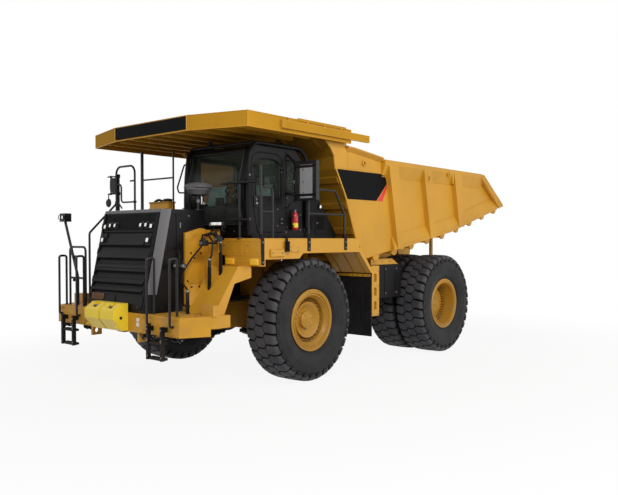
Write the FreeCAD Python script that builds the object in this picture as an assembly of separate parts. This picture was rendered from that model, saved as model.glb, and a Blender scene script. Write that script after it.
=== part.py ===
import FreeCAD
import Part
import math
import os
from FreeCAD import Vector

# Off-highway dump truck, in millimetres.
# X points forward, Y to the driver's left and Z up. The tyres stand on Z = 0.
# The origin is midway between nose and tail, on the centre plane.

os.makedirs("parts", exist_ok=True)

# ---------------------------------------------------------------- overall
wheelbase = 4215.0
nose_reach = 2860.0          # front axle to the face of the guard block
tail_reach = 2955.0          # rear axle to the lip of the body
overall_length = nose_reach + wheelbase + tail_reach
front_x = overall_length / 2 - nose_reach
rear_x = front_x - wheelbase
half_width = 2000.0          # decks and dump body
fit = 0.3                    # seat of one piece on another
running = 0.4                # pin in a bore, rod in a gland

# ----------------------------------------------------------------- wheels
tyre_r = 1032.0
tyre_half = 330.0
bead_r = 470.0
bead_half = 240.0
flange_r = 524.0
flange_t = 26.0
flange_gap = 5.0             # tyre wall to the inside of the flange
barrel_t = 40.0
front_wheel_y = 1666.0
rear_inner_y = 1072.0
rear_outer_y = 1792.0
axle_z = tyre_r

# --------------------------------------------------------------- steering
kingpin_y = 1020.0
kingpin_r = 105.0
strut_r = 150.0
steer_arm_x = 450.0          # tie rod ball, behind the kingpin
linkage_z = axle_z - 312.0
spindle_r = 120.0
steer_pivot_x = 0.0
steer_pivot_y = 250.0
ram_arm_x = 300.0
ram_arm_y = 1100.0
ball_r = 26.0
ram_drift = 34.0             # the eye of a steering ram wanders this far on its pin

# ------------------------------------------------------------------ frame
rail_y = 450.0
rail_w = 200.0
rail_in = rail_y - rail_w / 2
rail_out = rail_y + rail_w / 2
rail_front_z = axle_z - 182.0
rail_front_h = 450.0
rail_rear_z = axle_z + 368.0
rail_rear_h = 430.0
rail_nose = 2150.0
pivot_behind = 635.0         # body pivot, behind the rear axle
pivot_z = axle_z + 688.0
pivot_r = 60.0
pivot_x = rear_x - pivot_behind
foot_pin_r = 45.0
yoke_x = 1500.0              # front pivot of the rear axle's A-frame
yoke_z = rail_front_z
yoke_half = 200.0
strut_x = -500.0             # rear suspension cylinders
strut_y = 220.0
strut_top = axle_z + 448.0

# ------------------------------------------------------------------ decks
deck_z = axle_z + tyre_r + 346.0
deck_t = 40.0
deck_front = 1280.0
deck_back = -1240.0
skirt_z = deck_z - 323.0
skirt_high_z = deck_z - 238.0
skirt_t = 70.0
lamp_box_y = 1190.0          # inner end of the box under the deck's front edge
lamp_box_z = deck_z - 430.0

# ------------------------------------------------------------------- nose
bumper_back = 2150.0
bumper_face = 2600.0
bumper_z0 = axle_z - 57.0
bumper_z1 = axle_z + 236.0
bumper_wing = 230.0          # the wings reach this much further out
block_half = 400.0
tow_eye_r = 42.0
grille_half = 745.0
bumper_half = grille_half + 895.0
grille_lean = 0.22
grille_ref_x = 2284.0
grille_ref_z = bumper_z1 + 1332.0
grille_z1 = deck_z + 460.0
grille_back = 1905.0
strip_out = 125.0
hood_half = grille_half + strip_out
hood_back = 1455.0
hood_back_right = 350.0
hood_t = 40.0

# -------------------------------------------------------------------- cab
cab_y0 = 110.0
cab_y1 = half_width - 440.0
cab_z0 = deck_z + 40.0
cab_z1 = cab_z0 + 1480.0
cab_wall = 60.0
cab_foot = 1050.0            # the front wall leans out from here
cab_front = 1255.0           # to its knee
cab_brow = 1060.0            # and back to the roof
cab_knee_z = cab_z0 + 690.0
cab_back = -180.0
door_x0 = 330.0
door_x1 = 1060.0
door_z0 = cab_z0 + 60.0
door_z1 = cab_z1 - 110.0
door_lean = 130.0            # the foot of the door's free edge is cut back
door_round = 190.0
door_gap = 6.0
window_t = 8.0

# -------------------------------------------------------------- dump body
rib_depth = 100.0
plate_y = half_width - rib_depth
side_t = 30.0
room_y = plate_y - side_t    # inside face of the side plates
floor_t = 40.0
wall_t = 48.0
rail_top_z = deck_z + 1490.0
canopy_z0 = cab_z1 + 165.0
canopy_z1 = canopy_z0 + 245.0
canopy_plate_z = canopy_z0 + 155.0
canopy_plate_t = 30.0
canopy_front = 1895.0
canopy_corner = 1601.0
canopy_nose_y = 964.0
canopy_y = half_width + 27.0
canopy_back = -960.0
lip_t = 30.0
pad_gap = 6.0                # body beams over the frame pads
body_low_x = -1576.0         # foot of the front wall
body_low_z = deck_z - 374.0
body_knee = -385.0           # the floor bends here, behind the rear axle
body_knee_z = body_low_z + 514.0
tail_z = body_low_z + 1164.0
tail_top_x = -1955.0

# ------------------------------------------------------------- hoist rams
ram_foot_x = rear_x + 1230.0
ram_foot_z = axle_z - 255.0
ram_head_x = rear_x + 1480.0
ram_head_z = deck_z - 399.0
barrel_r = 95.0               # hoist barrel
ram_y = rail_out + barrel_r + 10.0
hoist_drift = 36.0           # the eye of a hoist ram wanders this far on its pin


def fx(x):
    """X of a place given from the front axle."""
    return front_x + x


def rx(x):
    """X of a place given from the rear axle."""
    return rear_x + x


def box(x0, x1, y0, y1, z0, z1):
    return Part.makeBox(x1 - x0, y1 - y0, z1 - z0, Vector(x0, y0, z0))


def rod(start, end, radius):
    a = Vector(*start)
    b = Vector(*end)
    return Part.makeCylinder(radius, (b - a).Length, a, b - a)


def ring(start, end, outer, inner):
    return rod(start, end, outer).cut(rod(start, end, inner))


def along(start, end, distance):
    """Point at a distance from start on the way to end."""
    a = Vector(*start)
    step = Vector(*end) - a
    step.normalize()
    return tuple(a + step * distance)


def towards(start, end):
    """Unit vector from one point to another."""
    step = end - start
    return step * (1.0 / step.Length)


def bent_path(points, radii, closed):
    """Edges through the points, with an arc of the given radius at each corner."""
    corners = []
    count = len(points)
    for i, (here, radius) in enumerate(zip(points, radii)):
        inside = closed or 0 < i < count - 1
        if radius == 0 or not inside:
            corners.append((here, here))
            continue
        a = towards(here, points[i - 1])
        b = towards(here, points[(i + 1) % count])
        half = a.getAngle(b) / 2
        reach = radius / math.tan(half)
        middle = here + towards(Vector(0, 0, 0), a + b) * (radius / math.sin(half) - radius)
        corners.append((here + a * reach, middle, here + b * reach))
    edges = []
    for i, corner in enumerate(corners):
        if len(corner) == 3:
            edges.append(Part.Arc(*corner).toShape())
        if closed or i < count - 1:
            edges.append(Part.makeLine(corner[-1], corners[(i + 1) % count][0]))
    return Part.Wire(edges)


def flat(points, radii):
    return Part.Face(bent_path(points, radii or [0] * len(points), True))


def plate_xz(points, y0, y1, radii=None):
    return flat([Vector(x, y0, z) for x, z in points], radii).extrude(Vector(0, y1 - y0, 0))


def plate_yz(points, x0, x1, radii=None):
    return flat([Vector(x0, y, z) for y, z in points], radii).extrude(Vector(x1 - x0, 0, 0))


def plate_xy(points, z0, z1, radii=None):
    return flat([Vector(x, y, z0) for x, y in points], radii).extrude(Vector(0, 0, z1 - z0))


def turned(points, x, z):
    """Solid of revolution about the Y axis through (x, z); points are (radius, y)."""
    outline = flat([Vector(x + r, y, z) for r, y in points], None)
    return outline.revolve(Vector(x, 0, z), Vector(0, 1, 0), 360)


def tube(points, radius, bend):
    """Round bar through the points, bent to one radius at every corner."""
    places = [Vector(*p) for p in points]
    path = bent_path(places, [bend] * len(places), False)
    profile = Part.Wire(Part.makeCircle(radius, places[0], places[1] - places[0]))
    return path.makePipeShell([profile], True, False)


def fused(shapes):
    whole = shapes[0]
    if len(shapes) > 1:
        whole = whole.multiFuse(shapes[1:])
    return whole.removeSplitter()


def mirrored(shape):
    return shape.mirror(Vector(0, 0, 0), Vector(0, 1, 0))


def both(shape):
    return Part.makeCompound([shape, mirrored(shape)])


def save(name, shape):
    shape.exportStep("parts/" + name + ".step")
    print(name, len(shape.Solids), shape.isValid(), round(shape.Volume / 1e9, 4))


# ================================================================ wheels
def tyre(y):
    """Tyre as a turned ring: beads, bulged walls and a flat crown."""
    shoulder_r = tyre_r - 45.0
    half = [
        (bead_r + fit, bead_half - 60.0),
        (bead_r + fit, bead_half),
        (flange_r, bead_half + 4.0),
        (flange_r + 60.0, tyre_half - 38.0),
        (flange_r + 170.0, tyre_half - 6.0),
        (flange_r + 260.0, tyre_half),
        (shoulder_r - 60.0, tyre_half - 8.0),
        (shoulder_r, tyre_half - 26.0),
        (tyre_r, tyre_half - 70.0),
    ]
    outline = [(r, y + w) for r, w in half]
    outline += [(r, y - w) for r, w in reversed(half)]
    return turned(outline, 0, 0)


def at_axle(shape, x):
    shape = shape.copy()
    shape.translate(Vector(x, 0, axle_z))
    return shape


def flange(y, side):
    near = y + side * (bead_half + flange_gap)
    return ring((0, near, 0), (0, near + side * flange_t, 0), flange_r, bead_r - barrel_t)


rim_edge = bead_half + flange_gap + flange_t
disc_t = 60.0
disc_in = 60.0               # front disc, outboard of the tyre's middle plane
hub_in = 190.0
hub_out = 205.0
hub_r = 235.0
hub_cap = 45.0
hub_cap_r = 130.0
spindle_reach = 120.0        # spindle end, outboard of the tyre's middle plane


def front_rim():
    """Barrel, flanges, disc and hub of a front wheel."""
    y = front_wheel_y
    barrel = ring((0, y - rim_edge, 0), (0, y + rim_edge, 0), bead_r, bead_r - barrel_t)
    disc_y = y + disc_in
    disc = ring((0, disc_y - disc_t, 0), (0, disc_y, 0), bead_r - barrel_t + 2.0, spindle_r + running)
    hub = rod((0, y - hub_in, 0), (0, y + hub_out, 0), hub_r)
    cap = rod((0, y + hub_out, 0), (0, y + hub_out + hub_cap, 0), hub_cap_r)
    bore = rod((0, y - hub_in, 0), (0, y + spindle_reach + running, 0), spindle_r + running)
    shape = fused([barrel, flange(y, 1), flange(y, -1), disc, hub, cap])
    return shape.cut(bore)


axle_end_y = rear_outer_y - 92.0
axle_end_r = 190.0
drive_r = 335.0              # final drive housing
drive_in = 240.0
drive_out = 130.0
drive_cap = 55.0
drive_cap_r = 235.0


def rear_rim():
    """Barrel for both tyres of one side, with the final drive in its middle."""
    y0 = rear_inner_y - rim_edge
    y1 = rear_outer_y + rim_edge
    barrel = ring((0, y0, 0), (0, y1, 0), bead_r, bead_r - barrel_t)
    disc_y = rear_outer_y + 20.0
    disc = ring((0, disc_y - disc_t, 0), (0, disc_y, 0), bead_r - barrel_t + 2.0, axle_end_r + 10.0)
    face_y = rear_outer_y + drive_out
    drive = rod((0, rear_outer_y - drive_in, 0), (0, face_y, 0), drive_r)
    cap = rod((0, face_y, 0), (0, face_y + drive_cap, 0), drive_cap_r)
    bore = rod((0, y0, 0), (0, axle_end_y + running, 0), axle_end_r + running)
    flanges = [flange(y, side) for y in (rear_inner_y, rear_outer_y) for side in (1, -1)]
    shape = fused([barrel, disc, drive, cap] + flanges)
    return shape.cut(bore)


def wheels():
    front_tyre = at_axle(tyre(front_wheel_y), front_x)
    save("front_tyre_left", front_tyre)
    save("front_tyre_right", mirrored(front_tyre))
    rim = at_axle(front_rim(), front_x)
    save("front_rim_left", rim)
    save("front_rim_right", mirrored(rim))
    twins = Part.makeCompound([at_axle(tyre(y), rear_x) for y in (rear_inner_y, rear_outer_y)])
    save("rear_tyres_left", twins)
    save("rear_tyres_right", mirrored(twins))
    rim = at_axle(rear_rim(), rear_x)
    save("rear_rim_left", rim)
    save("rear_rim_right", mirrored(rim))


# ============================================================== steering
housing_z0 = axle_z + 258.0
housing_z1 = deck_z - deck_t
arm_t = 60.0
arm_z = linkage_z + 60.0     # underside of the steering arms
eye_half = 28.0


def knuckle():
    """Strut rod, spindle and the arms for tie rod and steering ram."""
    def upright(radius, z0, z1, x=0.0, y=kingpin_y):
        return rod((fx(x), y, z0), (fx(x), y, z1), radius)

    def outward(radius, reach):
        return rod((front_x, kingpin_y, axle_z), (front_x, front_wheel_y + reach, axle_z), radius)

    arm_top = arm_z + arm_t
    tie_arm = box(fx(-steer_arm_x), front_x, kingpin_y - 60.0, kingpin_y + 60.0, arm_z, arm_top)
    ram_arm = plate_xy([(front_x, kingpin_y - 80.0), (fx(ram_arm_x), ram_arm_y - 60.0),
                        (fx(ram_arm_x), ram_arm_y + 60.0), (front_x, kingpin_y + 80.0)],
                       arm_z, arm_top)
    return fused([
        upright(kingpin_r, arm_z, housing_z0 + 500.0),
        upright(175.0, arm_z, housing_z0 - 30.0),
        outward(spindle_r, spindle_reach),
        outward(165.0, -hub_in - 10.0),
        tie_arm,
        upright(60.0, arm_z, arm_top, -steer_arm_x),
        upright(ball_r, linkage_z - eye_half - 2.0, arm_z, -steer_arm_x),
        ram_arm,
        upright(60.0, arm_z, arm_top, ram_arm_x, ram_arm_y),
        upright(ball_r, linkage_z - eye_half - 6.0, arm_z, ram_arm_x, ram_arm_y),
    ])


def strut_housing():
    body = ring((front_x, kingpin_y, housing_z0), (front_x, kingpin_y, housing_z1),
                strut_r, kingpin_r + running)
    lid = rod((front_x, kingpin_y, housing_z1 - 60.0), (front_x, kingpin_y, housing_z1), strut_r)
    return fused([body, lid])


def eye(x, y, outer, inner, half):
    """Upright ring of the steering linkage."""
    return ring((x, y, linkage_z - half), (x, y, linkage_z + half), outer, inner)


def tie_rod():
    x = fx(-steer_arm_x)
    bar_end = kingpin_y - 50.0
    bar = rod((x, -bar_end, linkage_z), (x, bar_end, linkage_z), 38.0)
    near = eye(x, kingpin_y, 62.0, ball_r + running, eye_half)
    far = eye(x, -kingpin_y, 62.0, ball_r + 2.0, eye_half)
    return fused([bar, near, far])


ram_bore = 42.0
ram_rod = 30.0
ram_shell = 55.0
ram_length = 560.0


def steer_ram():
    """Barrel and rod of the left steering ram."""
    foot = (fx(steer_pivot_x), steer_pivot_y, linkage_z)
    head = (fx(ram_arm_x), ram_arm_y, linkage_z)

    def piece(radius, near, far):
        return rod(along(foot, head, near), along(foot, head, far), radius)

    gland_end = ram_length + 55.0
    shell = piece(ram_shell, 50.0, gland_end)
    shell = shell.cut(piece(ram_bore, 75.0, ram_length + 20.0)).cut(piece(ram_rod + running, 75.0, gland_end))
    barrel = fused([shell, eye(foot[0], foot[1], 60.0, ball_r + running, 30.0)])
    barrel = barrel.cut(rod((foot[0], foot[1], linkage_z - 40.0), (foot[0], foot[1], linkage_z + 40.0),
                            ball_r + running))
    span = (Vector(*head) - Vector(*foot)).Length
    open_r = ball_r + ram_drift
    shaft = piece(ram_rod, 340.0, span - open_r - 8.0)
    piston = piece(ram_bore - running, 330.0, 370.0)
    hollow = rod((head[0], head[1], linkage_z - 50.0), (head[0], head[1], linkage_z + 50.0), open_r)
    stem = fused([shaft, piston, eye(head[0], head[1], open_r + 26.0, open_r, eye_half)]).cut(hollow)
    return barrel, stem


def steering():
    left = knuckle()
    save("knuckle_left", left)
    save("knuckle_right", mirrored(left))
    save("strut_housings", both(strut_housing()))
    save("tie_rod", tie_rod())
    barrel, stem = steer_ram()
    save("steer_barrel_left", barrel)
    save("steer_barrel_right", mirrored(barrel))
    save("steer_rod_left", stem)
    save("steer_rod_right", mirrored(stem))


# ================================================================= frame
frame_top = rail_front_z + rail_front_h
rear_top = rail_rear_z + rail_rear_h
pad_top = rear_top + 40.0
kick_front = -950.0          # the rails rise between these two
kick_back = -1750.0
post_x0 = -1270.0
post_x1 = -1150.0


def rail():
    """One long rail of the frame, raised over the rear axle."""
    tail = pivot_x - 170.0
    profile = [
        (fx(rail_nose), rail_front_z), (fx(rail_nose), frame_top), (fx(kick_front), frame_top),
        (fx(kick_back), rear_top), (tail, rear_top), (tail, rail_rear_z + 60.0),
        (tail + 200.0, rail_rear_z), (fx(kick_back - 150), rail_rear_z), (fx(kick_front - 200), rail_front_z),
    ]
    return plate_xz(profile, rail_in, rail_out)


def strut_tower():
    tower = plate_yz([(rail_in + 10.0, frame_top - 50.0), (rail_out, frame_top - 50.0),
                      (kingpin_y - 120.0, frame_top + 220.0), (kingpin_y - 120.0, housing_z1),
                      (rail_in + 10.0, housing_z1)], fx(-170), fx(170))
    socket = rod((front_x, kingpin_y, housing_z0), (front_x, kingpin_y, housing_z1), strut_r + fit)
    return tower.cut(socket)


def hoist_foot():
    """Lug under the rail and the pin that carries the hoist ram's foot."""
    top = rail_rear_z + 100.0
    lug = plate_xz([(ram_foot_x - 80.0, ram_foot_z - 80.0), (ram_foot_x + 80.0, ram_foot_z - 80.0),
                    (ram_foot_x + 220.0, top), (ram_foot_x - 220.0, top)], rail_in + 20.0, rail_out - 5.0)
    pin = rod((ram_foot_x, rail_in + 50.0, ram_foot_z), (ram_foot_x, ram_y + 60.0, ram_foot_z), foot_pin_r)
    return [lug, pin]


def main_frame():
    """Two long rails with towers, posts, pads, lugs and cross tubes."""
    side = [
        rail(),
        strut_tower(),
        box(fx(post_x0), fx(post_x1), rail_in, rail_out + 190.0, frame_top - 60.0, deck_z - deck_t),
        box(fx(post_x0), fx(post_x1), rail_in, rail_out, rail_front_z + 120.0, frame_top),
        box(rx(700), rx(1200), rail_in, rail_out, rear_top, pad_top),
        box(rx(-350), rx(150), rail_in, rail_out, rear_top, pad_top),
        box(rx(yoke_x - 75), rx(yoke_x + 75), yoke_half + fit, rail_in + 30.0, yoke_z - 70.0,
            rail_rear_z + 100.0),
        box(rx(strut_x - 110), rx(strut_x + 110), strut_y - 100.0, rail_in + 20.0, strut_top,
            strut_top + 160.0),
        box(fx(steer_pivot_x - 70), fx(steer_pivot_x + 70), steer_pivot_y - 70.0, steer_pivot_y + 70.0,
            linkage_z + 60.0, rail_front_z + 10.0),
        rod((fx(steer_pivot_x), steer_pivot_y, linkage_z - 34.0),
            (fx(steer_pivot_x), steer_pivot_y, rail_front_z), ball_r),
    ] + hoist_foot()

    def cross_tube(x, z, reach, radius):
        return rod((x, -reach, z), (x, reach, z), radius)

    crossings = [
        box(fx(-120), fx(120), -rail_in, rail_in, rail_front_z, rail_front_z + 70.0),
        box(fx(1350), fx(1500), -rail_in, rail_in, rail_front_z, rail_front_z + 70.0),
        box(fx(rail_nose - 220), fx(rail_nose - 20), -rail_in, rail_in, rail_front_z + 40.0, frame_top - 60.0),
        cross_tube(fx(-1400), rail_rear_z + 20.0, rail_in, 130.0),
        cross_tube(rx(950), rail_rear_z + 200.0, rail_in, 140.0),
        cross_tube(rx(strut_x), strut_top + 160.0, rail_in, 100.0),
        cross_tube(pivot_x, pivot_z, rail_out + 190.0, pivot_r),
    ]
    return fused(side + [mirrored(piece) for piece in side] + crossings)


def front_bumper():
    """Deep beam with swept wings and two tow eyes underneath."""
    wing_x = bumper_back - 330.0
    plan = [(fx(bumper_back), -700.0), (fx(wing_x), -1300.0), (fx(wing_x), -bumper_half - bumper_wing),
            (fx(bumper_face - 520), -bumper_half - bumper_wing), (fx(bumper_face), -bumper_half)]
    plan = plan + [(x, -y) for x, y in reversed(plan)]
    beam = plate_xy(plan, bumper_z0, bumper_z1)
    shade = box(fx(wing_x - 10), fx(bumper_back + 20), bumper_half - 900.0, bumper_half + bumper_wing + 10.0,
                bumper_z0 - 10.0, bumper_z0 + 110.0)
    beam = beam.cut(shade).cut(mirrored(shade))
    eye_x = fx(bumper_face - 105)
    eye_z = bumper_z0 - 75.0
    lug = box(fx(bumper_face - 190), fx(bumper_face - 20), 610.0, 660.0, eye_z - 75.0, bumper_z0 + 20.0)
    lug = lug.cut(rod((eye_x, 600.0, eye_z), (eye_x, 670.0, eye_z), tow_eye_r))
    return fused([beam, lug, mirrored(lug)])


def tow_block():
    """Bright guard block on the middle of the bumper, sloped above and below, with a groove and two slots."""
    back = fx(bumper_face) + fit
    front = fx(nose_reach)
    ease = back + 114.0
    z0 = bumper_z0 + 15.0
    z1 = bumper_z1 + 142.0
    brow = z1 - 105.0
    side = [(back, z0), (ease, z0), (front, z0 + 180.0), (front, brow), (ease, z1), (back, z1)]
    block = plate_xz(side, -block_half, block_half)
    for slot_y in (-210.0, 210.0):
        block = block.cut(box(ease - 20.0, front - 40.0, slot_y - 70.0, slot_y + 70.0, brow - 50.0, z1 + 10.0))
    groove = box(ease - 15.0, front + 10.0, -18.0, 18.0, z0 - 10.0, z1 + 10.0)
    return block.cut(groove)


# ======================================================= engine and drive
def engine_block():
    return box(fx(150), fx(1650), -330.0, 330.0, rail_front_z + 70.0, deck_z - deck_t - 60.0)


def drive_line():
    """Transmission under the cab and the shaft back to the axle."""
    case = box(fx(-1150), fx(-250), -300.0, 300.0, axle_z - 72.0, axle_z + 668.0)
    front = rod((fx(-250), 0, axle_z + 218.0), (fx(150), 0, axle_z + 218.0), 90.0)
    shaft = rod((fx(-1150), 0, axle_z + 118.0), (rx(axle_nose), 0, axle_z), 75.0)
    nose = box(rx(axle_nose - 200), rx(axle_nose) + fit, -100.0, 100.0, axle_z - 120.0, axle_z + 120.0)
    return fused([case, front, shaft]).cut(nose)


axle_nose = 520.0


def rear_axle():
    """Banjo housing with its A-frame nose and the tubes inside the wheels."""
    nose = (rx(axle_nose), 0, axle_z)
    shelf = box(rx(strut_x - 100), rx(strut_x + 200), strut_y - 90.0, strut_y + 90.0, axle_z - 60.0, axle_z)
    parts = [
        Part.makeSphere(420.0, Vector(rear_x, 0, axle_z)),
        rod((rear_x, 0, axle_z), nose, 190.0),
        rod((rear_x, -760.0, axle_z), (rear_x, 760.0, axle_z), 260.0),
        rod((rear_x, -axle_end_y, axle_z), (rear_x, axle_end_y, axle_z), axle_end_r),
        rod((rx(yoke_x), -yoke_half, yoke_z), (rx(yoke_x), yoke_half, yoke_z), 90.0),
        shelf,
        mirrored(shelf),
    ]
    for side in (1, -1):
        parts.append(rod((rear_x, side * 480.0, axle_z - 60.0), (rx(yoke_x), side * 90.0, yoke_z), 70.0))
    return fused(parts)


def rear_strut():
    """Rear suspension cylinder standing on the axle's shelf, under the frame's bracket."""
    low = (rx(strut_x), strut_y, axle_z + fit)
    high = (rx(strut_x), strut_y, strut_top - fit)
    shell = rod(along(low, high, 190.0), high, 100.0)
    inner = rod(low, along(low, high, 200.0), 72.0)
    return fused([shell, inner])


# ========================================================= nose and hood
grille_z0 = bumper_z1 + fit
grille_t = 60.0
strip_back = 110.0
slot_drops = (1000.0, 860.0, 675.0, 470.0, 265.0)     # louvre gaps, below the reference height
slot_h = 95.0


def grille_x(z):
    return fx(grille_ref_x - grille_lean * (z - grille_ref_z))


def grille_section(z, inset):
    """Outline of the nose at one height, drawn in by the inset."""
    x = grille_x(z)
    rear = fx(grille_back)
    half = [(rear, hood_half - inset), (x - strip_back - inset, hood_half - inset),
            (x - inset, grille_half - inset)]
    points = half + [(px, -py) for px, py in reversed(half)]
    points = [Vector(px, py, z) for px, py in points]
    return Part.makePolygon(points + points[:1])


def grille_shell():
    """Leaning front panel with louvre slots, chamfer strips and side cheeks."""
    top = grille_z1 - grille_t
    outer = Part.makeLoft([grille_section(grille_z0, 0.0), grille_section(grille_z1, 0.0)], True)
    inner = Part.makeLoft([grille_section(grille_z0 - 10.0, grille_t), grille_section(top, grille_t)], True)
    rear = fx(grille_back)
    back_hole = box(rear - 5.0, rear + 100.0, -grille_half - 40.0, grille_half + 40.0, grille_z0 - 20.0, top)
    shell = outer.cut(inner).cut(back_hole)
    reach = grille_half - 60.0
    for drop in slot_drops:
        z = grille_ref_z - drop
        x = grille_x(z)
        shell = shell.cut(box(x - 250.0, x + 150.0, -reach, reach, z, z + slot_h))
    return shell


def radiator():
    reach = grille_half - 80.0
    return box(fx(grille_back + 55), fx(grille_back + 155), -reach, reach, frame_top + fit, grille_z1 - 150.0)


def hood_plan(front, side, back, cab_side, back_right):
    """Plan of the engine cover: full width ahead of the cab, then only right of it."""
    return [(fx(front), -side), (fx(front), side), (fx(back), side), (fx(back), cab_side),
            (fx(back_right), cab_side), (fx(back_right), -side)]


def hood():
    """Engine cover over the frame's nose, with a skirt down both sides."""
    front = grille_back - fit
    gap_y = cab_y0 - 60.0
    skirt_low = deck_z - 510.0
    cover = plate_xy(hood_plan(front, hood_half, hood_back, gap_y, hood_back_right), deck_z + fit, grille_z1)
    skirt = box(fx(hood_back), fx(front), -hood_half, hood_half, skirt_low, deck_z + 10.0)
    room = plate_xy(hood_plan(front - hood_t, hood_half - hood_t, hood_back + hood_t, gap_y - hood_t,
                              hood_back_right + hood_t), skirt_low - 20.0, grille_z1 - hood_t)
    well = box(fx(hood_back - 60), fx(front - hood_t), -hood_half + hood_t, hood_half - hood_t,
               skirt_low - 20.0, deck_z + 60.0)
    return fused([cover, skirt]).cut(room).cut(well)


def hood_box():
    """Painted lid box on top of the hood, right of the cab."""
    return box(fx(1080), fx(1240), -hood_half, -350.0, grille_z1, grille_z1 + 190.0)


# ================================================================= decks
def deck():
    """Left deck: tread plate, outer skirt, front face and the lamp box below it."""
    under = deck_z - deck_t
    skirt = plate_xz([(fx(deck_back), under), (fx(deck_back), skirt_high_z), (fx(300), skirt_high_z),
                      (fx(400), skirt_z), (fx(deck_front), skirt_z), (fx(deck_front), under)],
                     half_width - skirt_t, half_width)
    return fused([
        box(fx(deck_back), fx(deck_front), 0.0, half_width, under, deck_z),
        skirt,
        box(fx(deck_front - 60), fx(deck_front), hood_half + 20.0, half_width, skirt_z + 60.0, under),
        box(fx(deck_front - 80), fx(deck_front + 20), lamp_box_y, half_width, lamp_box_z, skirt_z + 70.0),
        box(fx(deck_back), fx(deck_back + 60), 800.0, half_width, skirt_high_z, under),
    ])


slab_y0 = 1150.0
slab_y1 = bumper_half + 110.0
web_x = 1460.0


def stair_wing():
    """Broad inclined beam from the bumper wing up to the deck, with the inner side panel."""
    foot = bumper_z1 + fit
    under = lamp_box_z - fit
    top_back = fx(deck_front - 20)
    beam = plate_xz([(fx(bumper_face - 550), foot), (fx(bumper_face - 770), foot), (fx(1620), under - 260.0),
                     (top_back, under - 180.0), (top_back, under), (fx(1540), under)], slab_y0, slab_y1)
    panel_y = hood_half + fit
    panel = plate_xz([(fx(web_x), foot + 230.0), (fx(web_x), deck_z + 150.0),
                      (fx(web_x + 110), deck_z + 170.0), (fx(grille_back - 20), deck_z + 90.0),
                      (fx(grille_back - 20), foot + 100.0), (fx(web_x + 200), foot + 60.0)],
                     panel_y, panel_y + 40.0)
    web = box(fx(web_x), fx(web_x + 40), panel_y, slab_y0 + 10.0, foot + 230.0, deck_z + 140.0)
    riser = box(fx(web_x), fx(web_x + 40), slab_y0, lamp_box_y + 60.0, under - 100.0, deck_z + 140.0)
    step = box(fx(bumper_face - 600), fx(bumper_face - 440), slab_y1 - 140.0, slab_y1 + 120.0,
               foot, foot + 160.0)
    return fused([beam, panel, web, riser, step])


step_y0 = bumper_half - 640.0
step_y1 = bumper_half - 266.0
step_low_z = bumper_z0 - 350.0
step_reach = 2710.0
step_bar = 45.0


def hanging_steps():
    """Rail pair with two rungs, hung from the bumper on the left."""
    x1 = fx(step_reach)
    x0 = x1 - 60.0
    parts = []
    for y in (step_y0, step_y1 - step_bar):
        parts.append(box(x0, x1, y, y + step_bar, step_low_z, bumper_z0 + 150.0))
        parts.append(box(fx(bumper_face) + fit, x0 + 5.0, y, y + step_bar,
                         bumper_z0 + 70.0, bumper_z0 + 140.0))
    for z in (step_low_z + 5.0, step_low_z + 235.0):
        parts.append(box(x0 - 60.0, x1 - 10.0, step_y0 + 10.0, step_y1 - 10.0, z, z + 35.0))
    return fused(parts)


# ======================================================= fenders and tanks
flap_x = -1640.0
flap_y = 1150.0
flap_z0 = axle_z - 442.0
flap_z1 = skirt_high_z - 402.0
flap_t = 25.0
hanger_x = flap_x - 260.0
hanger_top = flap_z1 + 130.0


def fender():
    """Sloping guard behind the front tyre with its slotted hanger."""
    slope = plate_xz([(fx(deck_back) - fit, skirt_high_z + 70.0), (fx(deck_back) - fit, skirt_high_z),
                      (fx(flap_x + flap_t), flap_z1), (fx(flap_x), flap_z1),
                      (fx(flap_x - 20.0), flap_z1 + 30.0), (fx(deck_back - 60.0), skirt_high_z + 70.0)],
                     flap_y, half_width)
    hanger_low = flap_z1 - 810.0
    hanger = box(fx(hanger_x), fx(flap_x - 20.0), half_width - 60.0, half_width - 20.0, hanger_low, hanger_top)
    for i in range(3):
        z = hanger_low + 120.0 + 260.0 * i
        hanger = hanger.cut(box(fx(hanger_x + 80.0), fx(hanger_x + 170.0), half_width - 80.0, half_width,
                                z, z + 150.0))
    web = box(fx(flap_x - 60.0), fx(flap_x), flap_y, half_width - 20.0, flap_z1 - 70.0, hanger_top - 20.0)
    link = box(fx(hanger_x), fx(hanger_x + 80.0), rail_out + fit, half_width - 30.0, rear_top - 70.0,
               hanger_top)
    tie = box(fx(hanger_x), fx(flap_x - 20.0), half_width - 260.0, half_width - 30.0, hanger_top - 60.0,
              hanger_top)
    return fused([slope, hanger, web, link, tie])


def mud_flap():
    return box(fx(flap_x), fx(flap_x + flap_t), flap_y, half_width, flap_z0, flap_z1 - fit)


tank_y0 = ram_y + 135.0
tank_y1 = half_width - 300.0
tank_z0 = axle_z + 208.0
tank_z1 = axle_z + 868.0
tank_front = hanger_x - 60.0
tank_round = 90.0
tank_tyre_gap = 100.0


def side_tank():
    """Tank between the axles, hung on the frame, with a sloped cover on top."""
    x0 = rear_x + tyre_r + tank_tyre_gap
    x1 = fx(tank_front)
    body = plate_xz([(x0, tank_z0), (x1, tank_z0), (x1, tank_z1), (x0, tank_z1)], tank_y0, tank_y1,
                    [tank_round] * 4)
    saddle = box(x1 - 640.0, x1 - 150.0, rail_out + fit, tank_y0 + 10.0, tank_z0 + 210.0, tank_z1 - 120.0)
    return fused([body, saddle])


def tank_cover():
    """Trapezium cover plate standing on the left tank."""
    x0 = rear_x + tyre_r + tank_tyre_gap
    x1 = fx(tank_front)
    top = tank_z1 + 110.0
    return plate_xz([(x0 + tank_round, tank_z1), (x1 - tank_round, tank_z1), (x1 - tank_round, top),
                     (x0 + 300.0, top)], tank_y0 + 200.0, tank_y1 - 20.0)


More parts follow.
